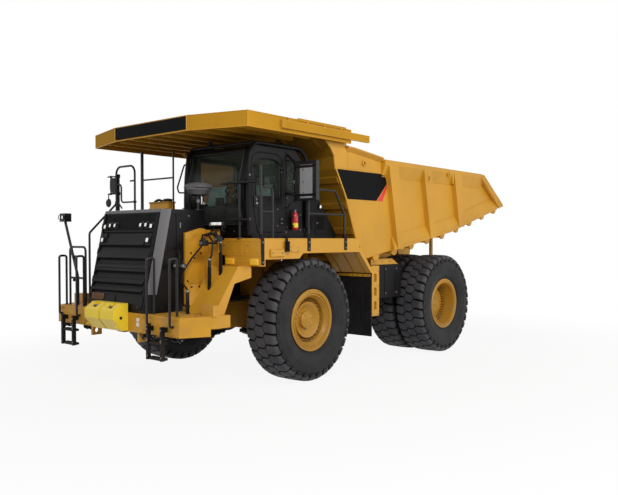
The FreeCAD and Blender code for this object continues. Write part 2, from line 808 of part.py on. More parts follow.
# =================================================================== cab
def cab_block(inset):
    """Cab volume: front wall leaning out to a knee and back, and a rounded roof."""
    outline = [(fx(cab_foot - inset), cab_z0 + inset), (fx(cab_front - inset), cab_knee_z),
               (fx(cab_brow - inset), cab_z1 - inset), (fx(cab_back + inset), cab_z1 - inset),
               (fx(cab_back + inset), cab_z0 + inset)]
    radii = [0, 600.0 - inset, 150.0 - inset, 330.0 - inset, 0]
    return plate_xz(outline, cab_y0 + inset, cab_y1 - inset, radii)


def leaf(inset, y0, y1):
    """Door shape between two planes, drawn in all round by the inset."""
    outline = [(fx(door_x0 + inset), door_z0 + inset), (fx(door_x1 - door_lean - inset), door_z0 + inset),
               (fx(door_x1 - inset), door_z0 + 480.0), (fx(door_x1 - inset), door_z1 - inset),
               (fx(door_x0 + inset), door_z1 - inset)]
    corner = door_round - inset
    return plate_xz(outline, y0, y1, [0, 0, 300.0, corner, corner])


def cab_windows():
    """Cutters for the windscreen and the side and rear windows."""
    top = cab_z1 - 190.0
    sill = cab_z0 + 760.0
    screen = box(fx(cab_foot - 110), fx(cab_front + 100), cab_y0 + 90.0, cab_y1 - 130.0, cab_z0 + 190.0,
                 cab_z1 - 100.0)
    right = box(fx(cab_back + 260), fx(cab_foot - 130), cab_y0 - 50.0, cab_y0 + 90.0, cab_z0 + 560.0, top)
    rear = box(fx(cab_back - 50), fx(cab_back + 100), cab_y0 + 180.0, cab_y1 - 180.0, sill, cab_z1 - 380.0)
    quarter = box(fx(cab_back + 130), fx(door_x0 - 90), cab_y1 - 90.0, cab_y1 + 50.0, sill, top)
    return screen, right, rear, quarter


def cab_shell():
    """Cab walls and roof with the door and window openings, and a roof post."""
    shell = cab_block(0.0).cut(cab_block(cab_wall))
    for cutter in cab_windows():
        shell = shell.cut(cutter)
    shell = shell.cut(leaf(0.0, cab_y1 - cab_wall - 30.0, cab_y1 + 50.0))
    post = rod((fx(950), cab_y0 + 340.0, cab_z1 - 20.0), (fx(950), cab_y0 + 340.0, cab_z1 + 135.0), 40.0)
    return fused([shell, post])


def cab_glass():
    """Fixed panes, in the middle of the walls, a seat's gap inside each opening."""
    middle = cab_wall / 2
    skin = cab_block(middle - window_t / 2).cut(cab_block(middle + window_t / 2))
    panes = []
    for cutter in cab_windows():
        b = cutter.BoundBox
        trimmed = box(b.XMin + fit, b.XMax - fit, b.YMin + fit, b.YMax - fit, b.ZMin + fit, b.ZMax - fit)
        panes += skin.common(trimmed).Solids
    return Part.makeCompound(panes)


pane_inset = 90.0
pane_sill = door_z0 + 590.0


def door_pane(inset, y0, y1):
    """Window shape in the door between two planes."""
    low = box(fx(door_x0), fx(door_x1), y0 - 1.0, y1 + 1.0, door_z0, pane_sill + inset)
    return leaf(pane_inset + inset, y0, y1).cut(low)


def cab_door():
    """Door leaf, as thick as the cab wall, with its window cut."""
    x0 = fx(door_x0)
    x1 = fx(door_x1 - door_gap)
    panel = leaf(door_gap, cab_y1 - cab_wall, cab_y1)
    parts = [panel.cut(door_pane(0.0, cab_y1 - cab_wall - 20.0, cab_y1 + 20.0))]
    parts.append(box(x1 - 90.0, x1 - 50.0, cab_y1 - 1.0, cab_y1 + 28.0, pane_sill - 180.0, pane_sill - 40.0))
    for z in (door_z0 + 130.0, door_z1 - 320.0):
        parts.append(rod((x0, cab_y1 + 16.0, z), (x0, cab_y1 + 16.0, z + 110.0), 14.0))
        parts.append(box(x0, x0 + 66.0, cab_y1 - 1.0, cab_y1 + 14.0, z, z + 110.0))
    return fused(parts)


def door_window():
    middle = cab_y1 - cab_wall / 2
    return door_pane(fit, middle - window_t / 2, middle + window_t / 2)


def cab_base():
    """Rubber-mounted plinth between deck and cab."""
    return box(fx(cab_back), fx(cab_foot - 10), cab_y0 + 60.0, cab_y1 - 20.0, deck_z, cab_z0)


def cab_rear_box():
    """Sloping equipment housing behind the cab."""
    x = fx(cab_back) - fit
    foot = fx(cab_back - 940)
    top = cab_z0 + 1100.0
    return plate_xz([(x, deck_z), (x, top), (x - 90.0, top), (foot, cab_z0 + 60.0), (foot, deck_z)],
                    cab_y0 + 350.0, cab_y1 - 20.0)


driver_y = (cab_y0 + cab_y1) / 2 + 60.0
cab_floor_z = cab_z0 + cab_wall


def seat():
    x = fx(330)
    cushion_z = cab_floor_z + 330.0
    base = box(x - 150.0, x + 170.0, driver_y - 170.0, driver_y + 170.0, cab_floor_z, cushion_z)
    cushion = box(x - 230.0, x + 270.0, driver_y - 250.0, driver_y + 250.0, cushion_z, cushion_z + 120.0)
    back = plate_xz([(x - 230.0, cushion_z + 110.0), (x - 110.0, cushion_z + 110.0),
                     (x - 190.0, cushion_z + 670.0), (x - 290.0, cushion_z + 670.0)],
                    driver_y - 240.0, driver_y + 240.0)
    return fused([base, cushion, back])


def console():
    """Dash under the windscreen, column and steering wheel."""
    top = cab_floor_z + 400.0
    x = fx(min(cab_front, cab_foot))
    dash = plate_xz([(x - 200.0, cab_floor_z), (x - 110.0, cab_floor_z), (x - 40.0, top + 20.0),
                     (x - 150.0, top + 20.0)], cab_y0 + 220.0, cab_y1 - 220.0)
    hub = (fx(760), driver_y, top + 240.0)
    column = rod((fx(930), driver_y, top), hub, 35.0)
    wheel = Part.makeTorus(200.0, 16.0, Vector(*hub), Vector(-170.0, 0, 240.0))
    spoke = rod((hub[0], driver_y - 195.0, hub[2]), (hub[0], driver_y + 195.0, hub[2]), 14.0)
    return fused([dash, column, wheel, spoke])


# ================================================== handrails and mirrors
bar = 19.0
bend = 70.0
rail_line = half_width - 25.0
rail_high = deck_z + 890.0
rail_mid = deck_z + 420.0
rail_front_mid = deck_z + 300.0
front_rail_x = deck_front - 10.0
mirror_post_x = 150.0
mirror_out = half_width + 230.0
mirror_in = half_width - 240.0
mirror_depth = 80.0
mirror_z = cab_z0 + 590.0
mirror_h = 650.0


def handrails_left():
    """Rails round the walkway beside and in front of the cab."""
    x1 = fx(front_rail_x)
    y = rail_line
    gate_x = fx(deck_front - 270)
    post_x = fx(mirror_post_x)
    back = fx(-830)
    inner = cab_y0 + 980.0
    return fused([
        tube([(x1, inner, rail_high), (x1, y, rail_high), (x1, y, deck_z)], bar, bend),
        tube([(x1, cab_y1 - 60.0, deck_z), (x1, cab_y1 - 60.0, rail_high)], bar - 1.0, bend),
        tube([(x1, inner, rail_front_mid), (x1, cab_y1 + 170.0, rail_front_mid)], bar - 1.0, bend),
        tube([(x1, y, deck_z), (x1, y, rail_high + 255.0), (x1, y - 130.0, rail_high + 262.0)], bar + 3.0, bend),
        tube([(x1, y, rail_high - 90.0), (gate_x, y, rail_high - 90.0), (gate_x, y, deck_z)], bar - 1.0, bend),
        tube([(x1, y, rail_mid), (gate_x, y, rail_mid)], bar - 2.0, bend),
        tube([(post_x, y, deck_z), (post_x, y, mirror_z + mirror_h + 20.0)], bar, bend),
        tube([(post_x, y, rail_high - 60.0), (fx(-560), y, rail_high - 60.0), (back, y, rail_mid),
              (back, y, deck_z)], bar - 1.0, bend),
        tube([(post_x, y, rail_mid), (back + 5.0, y, rail_mid)], bar - 2.0, bend),
    ])


hoop_y = hood_half + 405.0    # inner leg of the hoop
hoop_low = deck_z + 680.0


def front_hoop():
    """Rounded hoop on the front of the right deck, with a hand loop on its outer leg."""
    x = fx(front_rail_x)
    y0 = -half_width + 140.0
    y1 = -hoop_y
    top = deck_z + 1350.0
    loop_y = y0 + 160.0
    hoop = tube([(x, y0, deck_z), (x, y0, top), (x, y1, top), (x, y1, deck_z)], bar, 2 * bend)
    loop = tube([(x, y0, hoop_low + 340.0), (x, loop_y, hoop_low + 340.0), (x, loop_y, hoop_low),
                 (x, y1, hoop_low)], bar - 3.0, bend)
    brace = rod((x, y0, hoop_low + 60.0), (x, loop_y + 20.0, hoop_low - 110.0), bar - 5.0)
    stub = rod((x, y1, hoop_low + 390.0), (x, y1 - 135.0, hoop_low + 390.0), bar - 3.0)
    return fused([hoop, loop, brace, stub])


def hood_posts():
    """Stout post, thin post and the bar between them, on top of the hood."""
    x = fx(front_rail_x)
    y0 = 225.0 - hoop_y
    y1 = cab_y0 - 265.0
    post_r = 28.0
    return fused([
        tube([(x, y0, deck_z), (x, y0, cab_z1 + 60.0)], post_r, bend),
        tube([(x, y1, grille_z1), (x, y1, cab_z1)], bar - 3.0, bend),
        tube([(x, y0, rail_high + 170.0), (x, y1, rail_high + 170.0)], bar - 4.0, bend),
    ])


def grab_loops():
    """Narrow loops beside the hanging steps, from the bumper's face to its top, left."""
    front = fx(bumper_face + 60)
    back = fx(bumper_face - 75)
    top = bumper_z1 + 850.0
    low = bumper_z1 - 140.0
    loops = []
    for y in (step_y0 - 40.0, step_y1 + 126.0):
        loops.append(tube([(fx(bumper_face) + fit, y, low), (front, y, low), (front, y, top), (back, y, top),
                           (back, y, bumper_z1 + fit)], bar, 2 * bar))
    return loops


def boarding_gate():
    """Cross frame between the right loops, with the marker pole and the stair rail."""
    x = fx(bumper_face - 130)
    y0 = -step_y1 - 100.0
    y1 = -step_y0 + 10.0
    top = bumper_z1 + 1000.0
    cross_z = bumper_z1 + 470.0
    foot = bumper_z1 + fit
    middle = (y0 + y1) / 2
    lamp = (x, y0 - 160.0, deck_z + 320.0)
    wing_y = -slab_y0 - 150.0
    wing_x = fx(bumper_face - 400)
    gate = fused([
        tube([(x, y0, foot), (x, y0, top), (x, y1, top), (x, y1, foot)], bar, bend),
        tube([(x, y0, cross_z), (x, y1, cross_z)], bar - 1.0, bend),
        tube([(x, middle, foot), (x, middle, cross_z + 20.0), lamp], bar + 4.0, bend),
        box(x - 70.0, x + 50.0, lamp[1] - 90.0, lamp[1] + 90.0, lamp[2] - 20.0, lamp[2] + 120.0),
    ])
    stair_rail = tube([(wing_x, wing_y, foot), (wing_x, wing_y, deck_z + 100.0),
                       (fx(front_rail_x + 60), 300.0 - half_width, deck_z + 700.0)], bar, bend)
    return [gate, stair_rail]


def mirror(x, y0, y1, z0, z1):
    """Mirror head: a shallow case that faces back."""
    return box(x - mirror_depth / 2, x + mirror_depth / 2, y0, y1, z0, z1)


def mirror_left():
    x = fx(mirror_post_x) + bar + fit + mirror_depth / 2
    return mirror(x, mirror_in, mirror_out, mirror_z, mirror_z + mirror_h)


def mirror_right():
    """Right mirror between two arms of its own post, turned towards the cab."""
    x = fx(front_rail_x - 60)
    post_y = 120.0 - half_width
    head_y = -half_width - 60.0
    low_arm = deck_z + 860.0
    high_arm = deck_z + 1190.0
    arm_r = 13.0
    outer_y = head_y - 70.0
    post = rod((x, post_y, deck_z), (x, post_y, high_arm + 20.0), bar + 5.0)
    arms = [rod((x, post_y, z), (x, -mirror_out, z), arm_r) for z in (low_arm, high_arm)]
    outer = rod((x, outer_y, low_arm), (x, outer_y, high_arm), arm_r)
    head = mirror(x, head_y - 180.0, head_y + 180.0, low_arm + 10.0, high_arm - 40.0)
    head.rotate(Vector(x, head_y, 0), Vector(0, 0, 1), -34.0)
    return fused([post, outer, head] + arms)


def front_mirror():
    """Wide low mirror on a post at the left edge of the hood."""
    x = fx(hood_back + 45)
    y = hood_half - 90.0
    top = grille_z1 + 240.0
    post = rod((x, y, grille_z1), (x, y, top), bar)
    bowl = [(0.0, 0.0), (130.0, 0.0), (190.0, 90.0), (180.0, 125.0), (100.0, 165.0), (0.0, 175.0)]
    head = turned(bowl, 0, 0)
    head.rotate(Vector(0, 0, 0), Vector(1, 0, 0), 90)
    head.translate(Vector(x, y, top))
    return fused([post, head])


# ================================================================ hoses
hose_r = 14.0
hose_bend = 42.0
web_front = 1500.0           # hoses start on the face of the web beside the hood
bracket_half = 20.0


def slab_top(x):
    """Height of the inclined beam's upper face, or of the bumper before its foot."""
    foot = bumper_face - 550.0
    back = 1540.0
    share = max(foot - x, 0.0) / (foot - back)
    return bumper_z1 + share * (lamp_box_z - bumper_z1)


def hose_bracket(x, y, height):
    """Flat bar standing on the inclined beam."""
    x0 = x - bracket_half
    x1 = x + bracket_half
    top = slab_top(x) + height
    return plate_xz([(fx(x0), slab_top(x0) + fit), (fx(x1), slab_top(x1) + fit), (fx(x1), top), (fx(x0), top)],
                    y - bracket_half, y + bracket_half)


def hose_lines():
    """Hoses between the web beside the hood and three brackets on the inclined beam."""
    start = web_front + fit
    height = 330.0
    runs = [
        ((1620.0, 1440.0), [(start, 1200, 80), (1580, 1200, 80), (1600, 1378, -15), (1620, 1440, -80)]),
        ((1780.0, 1360.0), [(start, 1090, 80), (1580, 1090, 80), (1650, 1212, 27), (1720, 1370, -40),
                            (1770, 1400, -260), (1780, 1360, -320)]),
        ((2190.0, 1330.0), [(start, 980, 60), (1590, 980, 60), (1700, 1087, -16), (1780, 1180, -120),
                            (1900, 1095, -293), (2070, 1080, -514), (2150, 1140, -660), (2190, 1330, -770)]),
    ]
    pieces = []
    for (x, y), points in runs:
        path = [(fx(px), py, deck_z + pz) for px, py, pz in points]
        path.append((fx(x), y, slab_top(x) + height - 30.0))
        pieces.append(fused([tube(path, hose_r, hose_bend), hose_bracket(x, y, height)]))
    return Part.makeCompound(pieces)


# ============================================================= dump body
wall_line = [(body_low_x, body_low_z), (-1275.0, deck_z + 19.0), (-990.0, deck_z + 710.0),
             (-678.0, deck_z + 1225.0), (-636.0, deck_z + 1445.0), (-513.0, deck_z + 1611.0),
             (-385.0, deck_z + 1723.0), (-270.0, canopy_plate_z)]
wall_path = [(fx(x), z) for x, z in wall_line]


def wall_x(z):
    """Front face of the leaning wall at one height."""
    for (xa, za), (xb, zb) in zip(wall_path, wall_path[1:]):
        if z <= zb:
            return xa + (xb - xa) * (z - za) / (zb - za)
    return wall_path[-1][0]


def floor_line():
    return [(fx(body_low_x), body_low_z), (rx(body_knee), body_knee_z), (rx(-tail_reach), tail_z)]


def floor_z(x):
    points = floor_line()
    for (xa, za), (xb, zb) in zip(points, points[1:]):
        if xb <= x <= xa:
            return za + (zb - za) * (x - xa) / (xb - xa)
    return points[-1][1]


side_rail_front = -2085.0    # the top rail starts here
side_rail_h = 70.0
side_rail_taper = 230.0
rib_x0 = -2214.0             # front edge of the first rib, at its top
rib_w = 310.0
rib_lean = 0.2
low_rail_h = 290.0


def side_ribs():
    """Three broad upright ribs, leaning back towards the floor."""
    pitch = (fx(rib_x0) - rx(tail_top_x)) / 3.0 - 45.0
    top = rail_top_z - 130.0
    ribs = []
    for i in range(3):
        x = fx(rib_x0) - pitch * i
        low = floor_z(x - rib_w) + 10.0
        lean = rib_lean * (top - low)
        ribs.append(plate_xz([(x, top), (x - rib_w, top), (x - rib_w - 0.6 * lean, low), (x - lean, low)],
                             plate_y - 5.0, half_width))
    return ribs


def low_rail():
    """Sloped rail along the foot of the side, following the bend of the floor."""
    def section(x):
        z = floor_z(x)
        points = [(plate_y - 5.0, z), (half_width - 15.0, z), (half_width - 15.0, z + 60.0),
                  (plate_y, z + low_rail_h), (plate_y - 5.0, z + low_rail_h)]
        points = [Vector(x, y, pz) for y, pz in points]
        return Part.makePolygon(points + points[:1])

    stations = [fx(rib_x0) - 200.0, rx(body_knee), rx(-tail_reach) + 260.0]
    return [Part.makeLoft([section(a), section(b)], True) for a, b in zip(stations, stations[1:])]


def dump_side():
    """Left side: plate, top rail, upright ribs, foot rail and the tail post."""
    low = floor_line()
    shoulder = fx(canopy_back) - 40.0
    tail_run = rx(-tail_reach)
    tail_top = rx(tail_top_x)
    top = [(fx(canopy_back), canopy_plate_z), (shoulder, rail_top_z + 130.0), (shoulder, rail_top_z + 65.0),
           (fx(side_rail_front + 130), rail_top_z + 35.0), (fx(side_rail_front), rail_top_z),
           (tail_top, rail_top_z)]
    outline = wall_path + top + [low[2], low[1]]
    plate = plate_xz(outline, room_y, plate_y)
    out = half_width - 10.0
    top_rail = plate_yz([(plate_y - 5.0, rail_top_z), (out, rail_top_z), (out, rail_top_z - side_rail_h),
                         (plate_y - 5.0, rail_top_z - side_rail_h - side_rail_taper)],
                        tail_top - 20.0, fx(side_rail_front))
    post = plate_xz([(tail_top, rail_top_z), (tail_run, tail_z), (tail_run + 190.0, tail_z - 40.0),
                     (tail_top + 160.0, rail_top_z - 60.0)], plate_y - 5.0, half_width)
    return fused([plate, top_rail, post] + side_ribs() + low_rail())


def floor_plate():
    low = floor_line()
    above = [(x, z + floor_t) for x, z in reversed(low)]
    return plate_xz(low + above, -room_y, room_y)


floor_rib_count = 9
floor_rib_front = 342.0
floor_rib_step = (fx(body_low_x) - rx(-tail_reach) - floor_rib_front - 280.0) / (floor_rib_count - 1)


def floor_ribs():
    """Cross ribs under the floor, from side to side."""
    depth = 85.0
    ribs = []
    for i in range(floor_rib_count):
        x = fx(body_low_x) - floor_rib_front - floor_rib_step * i
        z = floor_z(x) - depth
        ribs.append(plate_xz([(x - 110.0, floor_z(x - 110.0) + 10.0), (x + 110.0, floor_z(x + 110.0) + 10.0),
                              (x + 80.0, z), (x - 80.0, z)], -room_y, room_y))
    return ribs


def body_beam():
    """Long beam under the floor that rests over the frame's pads, left."""
    rest_z = pad_top + pad_gap
    start = fx(-1800)
    after = pivot_x - 260.0
    profile = [(start, rest_z + 160.0), (start, floor_z(start) + 10.0), (rx(body_knee), body_knee_z + 10.0),
               (after, floor_z(after) + 10.0), (pivot_x - 200.0, rest_z + 230.0), (pivot_x + 200.0, rest_z),
               (fx(-2050), rest_z)]
    return plate_xz(profile, rail_y - 90.0, rail_y + 90.0)


def pivot_ear():
    """Ear of the body round the pivot tube, left."""
    y0 = rail_out + 40.0
    y1 = y0 + 80.0
    back = pivot_x - 300.0
    front = pivot_x + 500.0
    web = plate_xz([(pivot_x - 130.0, pivot_z), (back, floor_z(back) + 10.0), (front, floor_z(front) + 10.0),
                    (pivot_x + 130.0, pivot_z)], y0, y1)
    boss = rod((pivot_x, y0, pivot_z), (pivot_x, y1, pivot_z), 130.0)
    hole = rod((pivot_x, y0 - 10.0, pivot_z), (pivot_x, y1 + 10.0, pivot_z), pivot_r + running)
    return fused([web, boss]).cut(hole)


head_pin_r = 34.0
head_gap = 60.0


def hoist_head():
    """Bracket and pin under the floor that take the left hoist ram's eye."""
    inner = ram_y - head_gap
    x0 = ram_head_x - 150.0
    x1 = ram_head_x + 150.0
    web = plate_xz([(x0, floor_z(x0) + 10.0), (x1, floor_z(x1) + 10.0), (ram_head_x + 70.0, ram_head_z - 60.0),
                    (ram_head_x - 70.0, ram_head_z - 60.0)], inner - 70.0, inner - 20.0)
    pin = rod((ram_head_x, inner - 40.0, ram_head_z), (ram_head_x, ram_y + 50.0, ram_head_z), head_pin_r)
    return fused([web, pin])


def dump_floor():
    """Floor plate, cross ribs, the two long beams, the pivot ears and the hoist brackets."""
    side = [body_beam(), pivot_ear(), hoist_head()]
    return fused([floor_plate()] + floor_ribs() + side + [mirrored(piece) for piece in side])


ejector_bay = 4.5            # midway between two floor ribs
ejector_half = 20.0
ejector_reach = 620.0


def rock_ejector():
    """Bar hung from the floor between the two left rear tyres."""
    x = fx(body_low_x) - floor_rib_front - floor_rib_step * ejector_bay
    y = (rear_inner_y + rear_outer_y) / 2
    low = floor_z(x + 45.0) - fit - ejector_reach
    return plate_xz([(x - 45.0, floor_z(x - 45.0) - fit), (x + 45.0, floor_z(x + 45.0) - fit),
                     (x + 45.0, low + 60.0), (x - 25.0, low), (x - 45.0, low + 30.0)],
                    y - ejector_half, y + ejector_half)


def front_wall():
    """Leaning front wall with three cross ribs, between the sides."""
    z0 = body_low_z + floor_t
    face = [(wall_x(z0), z0)] + wall_path[1:]
    outline = face + [(x - wall_t, z) for x, z in reversed(face)]
    parts = [plate_xz(outline, -room_y, room_y)]
    for i in range(3):
        z = body_low_z + 460.0 + 450.0 * i
        head = z + 130.0
        parts.append(plate_xz([(wall_x(z) - 10.0, z), (wall_x(head) - 10.0, head),
                               (wall_x(head) + 15.0, z + 90.0), (wall_x(z) + 40.0, z)], -room_y, room_y))
    return fused(parts).cut(floor_plate())


side_box_back = -1450.0      # box rail along the canopy's lip
side_box_front = 870.0


def canopy_plan(inset):
    """Plan of the canopy, open towards the back where the inset is not nothing."""
    back = fx(canopy_back) - (10.0 if inset else 0.0)
    half = [(back, canopy_y - inset), (fx(canopy_corner) - inset / 3, canopy_y - inset),
            (fx(canopy_front) - inset, canopy_nose_y - inset / 6)]
    return half + [(x, -y) for x, y in reversed(half)]


def canopy():
    """Roof plate over cab and decks, with deep lips, ribs below and rails along both sides."""
    block = plate_xy(canopy_plan(0.0), canopy_z0, canopy_z1)
    below = plate_xy(canopy_plan(lip_t), canopy_z0 - 10.0, canopy_plate_z)
    above = plate_xy(canopy_plan(lip_t), canopy_plate_z + canopy_plate_t, canopy_z1 + 10.0)
    parts = [block.cut(below).cut(above)]
    rib_start = wall_x(canopy_plate_z) + 30.0
    pitch = (canopy_y - lip_t) / 4.8
    for i in range(5):
        y = pitch * i
        reach = canopy_front if y < canopy_nose_y else canopy_corner + 60.0
        rib = box(rib_start, fx(reach - 60.0), y - 35.0, y + 35.0, canopy_z0 + 40.0, canopy_plate_z + 5.0)
        parts += [rib, mirrored(rib)] if i else [rib]
    rail_out_y = canopy_y + 48.0
    side = box(fx(side_box_back), fx(side_box_front), canopy_y - 1.0, rail_out_y, canopy_z0 + 60.0,
               canopy_z1 - 60.0)
    bar_z = canopy_z1 - 25.0
    upper = box(fx(-800), fx(450), canopy_y - 40.0, canopy_y + 10.0, bar_z, bar_z + 45.0)
    parts += [side, mirrored(side), upper, mirrored(upper)]
    return fused(parts)


# ================================================================= hoist
stage_r = 76.0
hoist_rod_r = 58.0
ram_lip = 20.0               # each tube stands this far out of the one around it


def hoist():
    """Left hoist ram: barrel, middle stage and rod, one inside the next."""
    foot = (ram_foot_x, ram_y, ram_foot_z)
    head = (ram_head_x, ram_y, ram_head_z)
    span = (Vector(*head) - Vector(*foot)).Length
    open_r = head_pin_r + hoist_drift
    eye_half_y = 50.0

    def piece(radius, near, far):
        return rod(along(foot, head, near), along(foot, head, far), radius)

    def pin_hole(place, half, radius):
        return rod((place[0], ram_y - half, place[2]), (place[0], ram_y + half, place[2]), radius)

    reach = span - open_r - 70.0 - 2 * ram_lip
    shell = piece(barrel_r, 70.0, reach).cut(piece(stage_r + running, 120.0, reach))
    barrel = fused([shell, pin_hole(foot, eye_half_y, 78.0)])
    barrel = barrel.cut(pin_hole(foot, eye_half_y + 20.0, foot_pin_r + running))
    stage = piece(stage_r, 125.0, reach + ram_lip).cut(piece(hoist_rod_r + running, 125.0, reach + ram_lip))
    stem = fused([piece(hoist_rod_r, 130.0, span - open_r - 10.0),
                  pin_hole(head, eye_half_y - 5.0, open_r + 28.0)])
    stem = stem.cut(pin_hole(head, eye_half_y + 40.0, open_r))
    return barrel, stage, stem


def hoists():
    for name, shape in zip(("hoist_barrel", "hoist_stage", "hoist_rod"), hoist()):
        save(name + "_left", shape)
        save(name + "_right", mirrored(shape))


# ================================================================= build
wheels()
steering()
hoists()
save("main_frame", main_frame())
save("front_bumper", front_bumper())
save("tow_block", tow_block())
save("engine_block", engine_block())
save("drive_line", drive_line())
save("rear_axle", rear_axle())
save("rear_struts", both(rear_strut()))
save("grille_shell", grille_shell())
save("radiator", radiator())
save("hood", hood())
save("hood_box", hood_box())
left_deck = deck()
save("deck_left", left_deck)
save("deck_right", mirrored(left_deck))
save("stair_wings", both(stair_wing()))
save("hanging_steps", both(hanging_steps()))
save("fenders", both(fender()))
save("mud_flaps", both(mud_flap()))
tank = side_tank()
save("fuel_tank", fused([tank, tank_cover()]))
save("hydraulic_tank", mirrored(tank))
save("cab_shell", cab_shell())
save("cab_glass", cab_glass())
save("cab_base", cab_base())
save("cab_rear_box", cab_rear_box())
save("cab_door", cab_door())
save("door_window", door_window())
save("seat", seat())
save("console", console())
loops = grab_loops()
save("handrails_left", Part.makeCompound([handrails_left()] + loops))
save("handrails_right", Part.makeCompound([front_hoop(), hood_posts()] + [mirrored(loop) for loop in loops]
                                          + boarding_gate()))
save("hose_lines", hose_lines())
save("mirrors", Part.makeCompound([mirror_left(), mirror_right(), front_mirror()]))
side = dump_side()
save("dump_side_left", side)
save("dump_side_right", mirrored(side))
save("dump_floor", dump_floor())
save("dump_front_wall", front_wall())
save("rock_ejectors", both(rock_ejector()))
save("canopy", canopy())
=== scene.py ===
"""Looks of an off-highway dump truck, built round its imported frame. Metres, X forward, Y left, Z up."""

import math
from itertools import product

import bpy
from mathutils import Matrix, Vector


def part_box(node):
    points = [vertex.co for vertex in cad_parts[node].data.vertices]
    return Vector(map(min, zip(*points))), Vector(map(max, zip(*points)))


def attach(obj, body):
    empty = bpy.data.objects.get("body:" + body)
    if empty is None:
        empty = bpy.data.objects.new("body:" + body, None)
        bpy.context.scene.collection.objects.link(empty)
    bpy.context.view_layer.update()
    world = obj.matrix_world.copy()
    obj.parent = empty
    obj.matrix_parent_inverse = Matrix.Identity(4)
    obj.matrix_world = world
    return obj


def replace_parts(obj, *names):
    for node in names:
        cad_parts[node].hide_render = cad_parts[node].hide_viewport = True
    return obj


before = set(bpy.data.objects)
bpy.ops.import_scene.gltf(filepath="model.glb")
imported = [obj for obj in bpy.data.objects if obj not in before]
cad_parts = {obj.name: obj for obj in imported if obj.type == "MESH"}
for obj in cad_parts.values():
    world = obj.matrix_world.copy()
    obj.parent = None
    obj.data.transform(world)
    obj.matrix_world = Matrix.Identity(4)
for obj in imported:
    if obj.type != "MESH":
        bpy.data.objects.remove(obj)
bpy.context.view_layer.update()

# ---------- the frame's places
LEFT, RIGHT = 1, -1
AHEAD, ACROSS, UP = Matrix.Identity(3)
SIDES = (("left", LEFT), ("right", RIGHT))


def low(node):
    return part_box(node)[0]


def high(node):
    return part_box(node)[1]


def middle(node):
    return (low(node) + high(node)) / 2


front_x = middle("front_rim_left").x
rear_x = middle("rear_rim_left").x
axle_z = middle("front_rim_left").z
tyre_r = high("front_tyre_left").z - axle_z
tyre_half = (high("front_tyre_left").y - low("front_tyre_left").y) / 2
front_wheel_y = middle("front_tyre_left").y
rear_outer_y = high("rear_tyres_left").y - tyre_half
rear_inner_y = low("rear_tyres_left").y + tyre_half
deck_z = high("deck_left").z
half_width = high("deck_left").y


def vec(x, y, z):
    return Vector((x, y, z))


def at(x, y, z):
    """Point measured from the front axle along X, and from the ground up."""
    return vec(front_x + x, y, z)


def span(*ranges):
    """The two ends of a run: a pair holds both ends' values, a number the one they share."""
    return [at(*(r[end] if isinstance(r, tuple) else r for r in ranges)) for end in (0, 1)]


def upright(y, outline):
    """Points from (x, z) pairs, all at one distance from the centre plane."""
    return [at(x, y, z) for x, z in outline]


def facing(x, outline):
    """Points from (y, z) pairs, all at one distance from the front axle."""
    return [at(x, y, z) for y, z in outline]


def behind(x, y, z):
    """Point measured from the rear axle along X."""
    return vec(rear_x + x, y, z)


# ---------- shaders
class Link:
    """A shader socket. Operators on it add Math nodes."""

    def __init__(self, finish, socket):
        self.finish = finish
        self.socket = socket

    def math(self, operation, *others, swap=False):
        values = [self, *others]
        if swap:
            values.reverse()
        settings = {"operation": operation}
        return self.finish.node("ShaderNodeMath", settings, dict(enumerate(values)))

    def fade(self, start, end, first=0, last=1):
        """Smooth change from first, at start, to last, at end."""
        values = {"Value": self, "From Min": start, "From Max": end, "To Min": first, "To Max": last}
        return self.finish.node("ShaderNodeMapRange", {"interpolation_type": "SMOOTHSTEP"}, values)


def operator(operation, swap=False):
    return lambda link, other: link.math(operation, other, swap=swap)


Link.__add__ = Link.__radd__ = operator("ADD")
Link.__mul__ = Link.__rmul__ = operator("MULTIPLY")
Link.__sub__, Link.__rsub__ = operator("SUBTRACT"), operator("SUBTRACT", swap=True)
Link.__truediv__, Link.__pow__ = operator("DIVIDE"), operator("POWER")
Link.__gt__, Link.__lt__ = operator("GREATER_THAN"), operator("LESS_THAN")


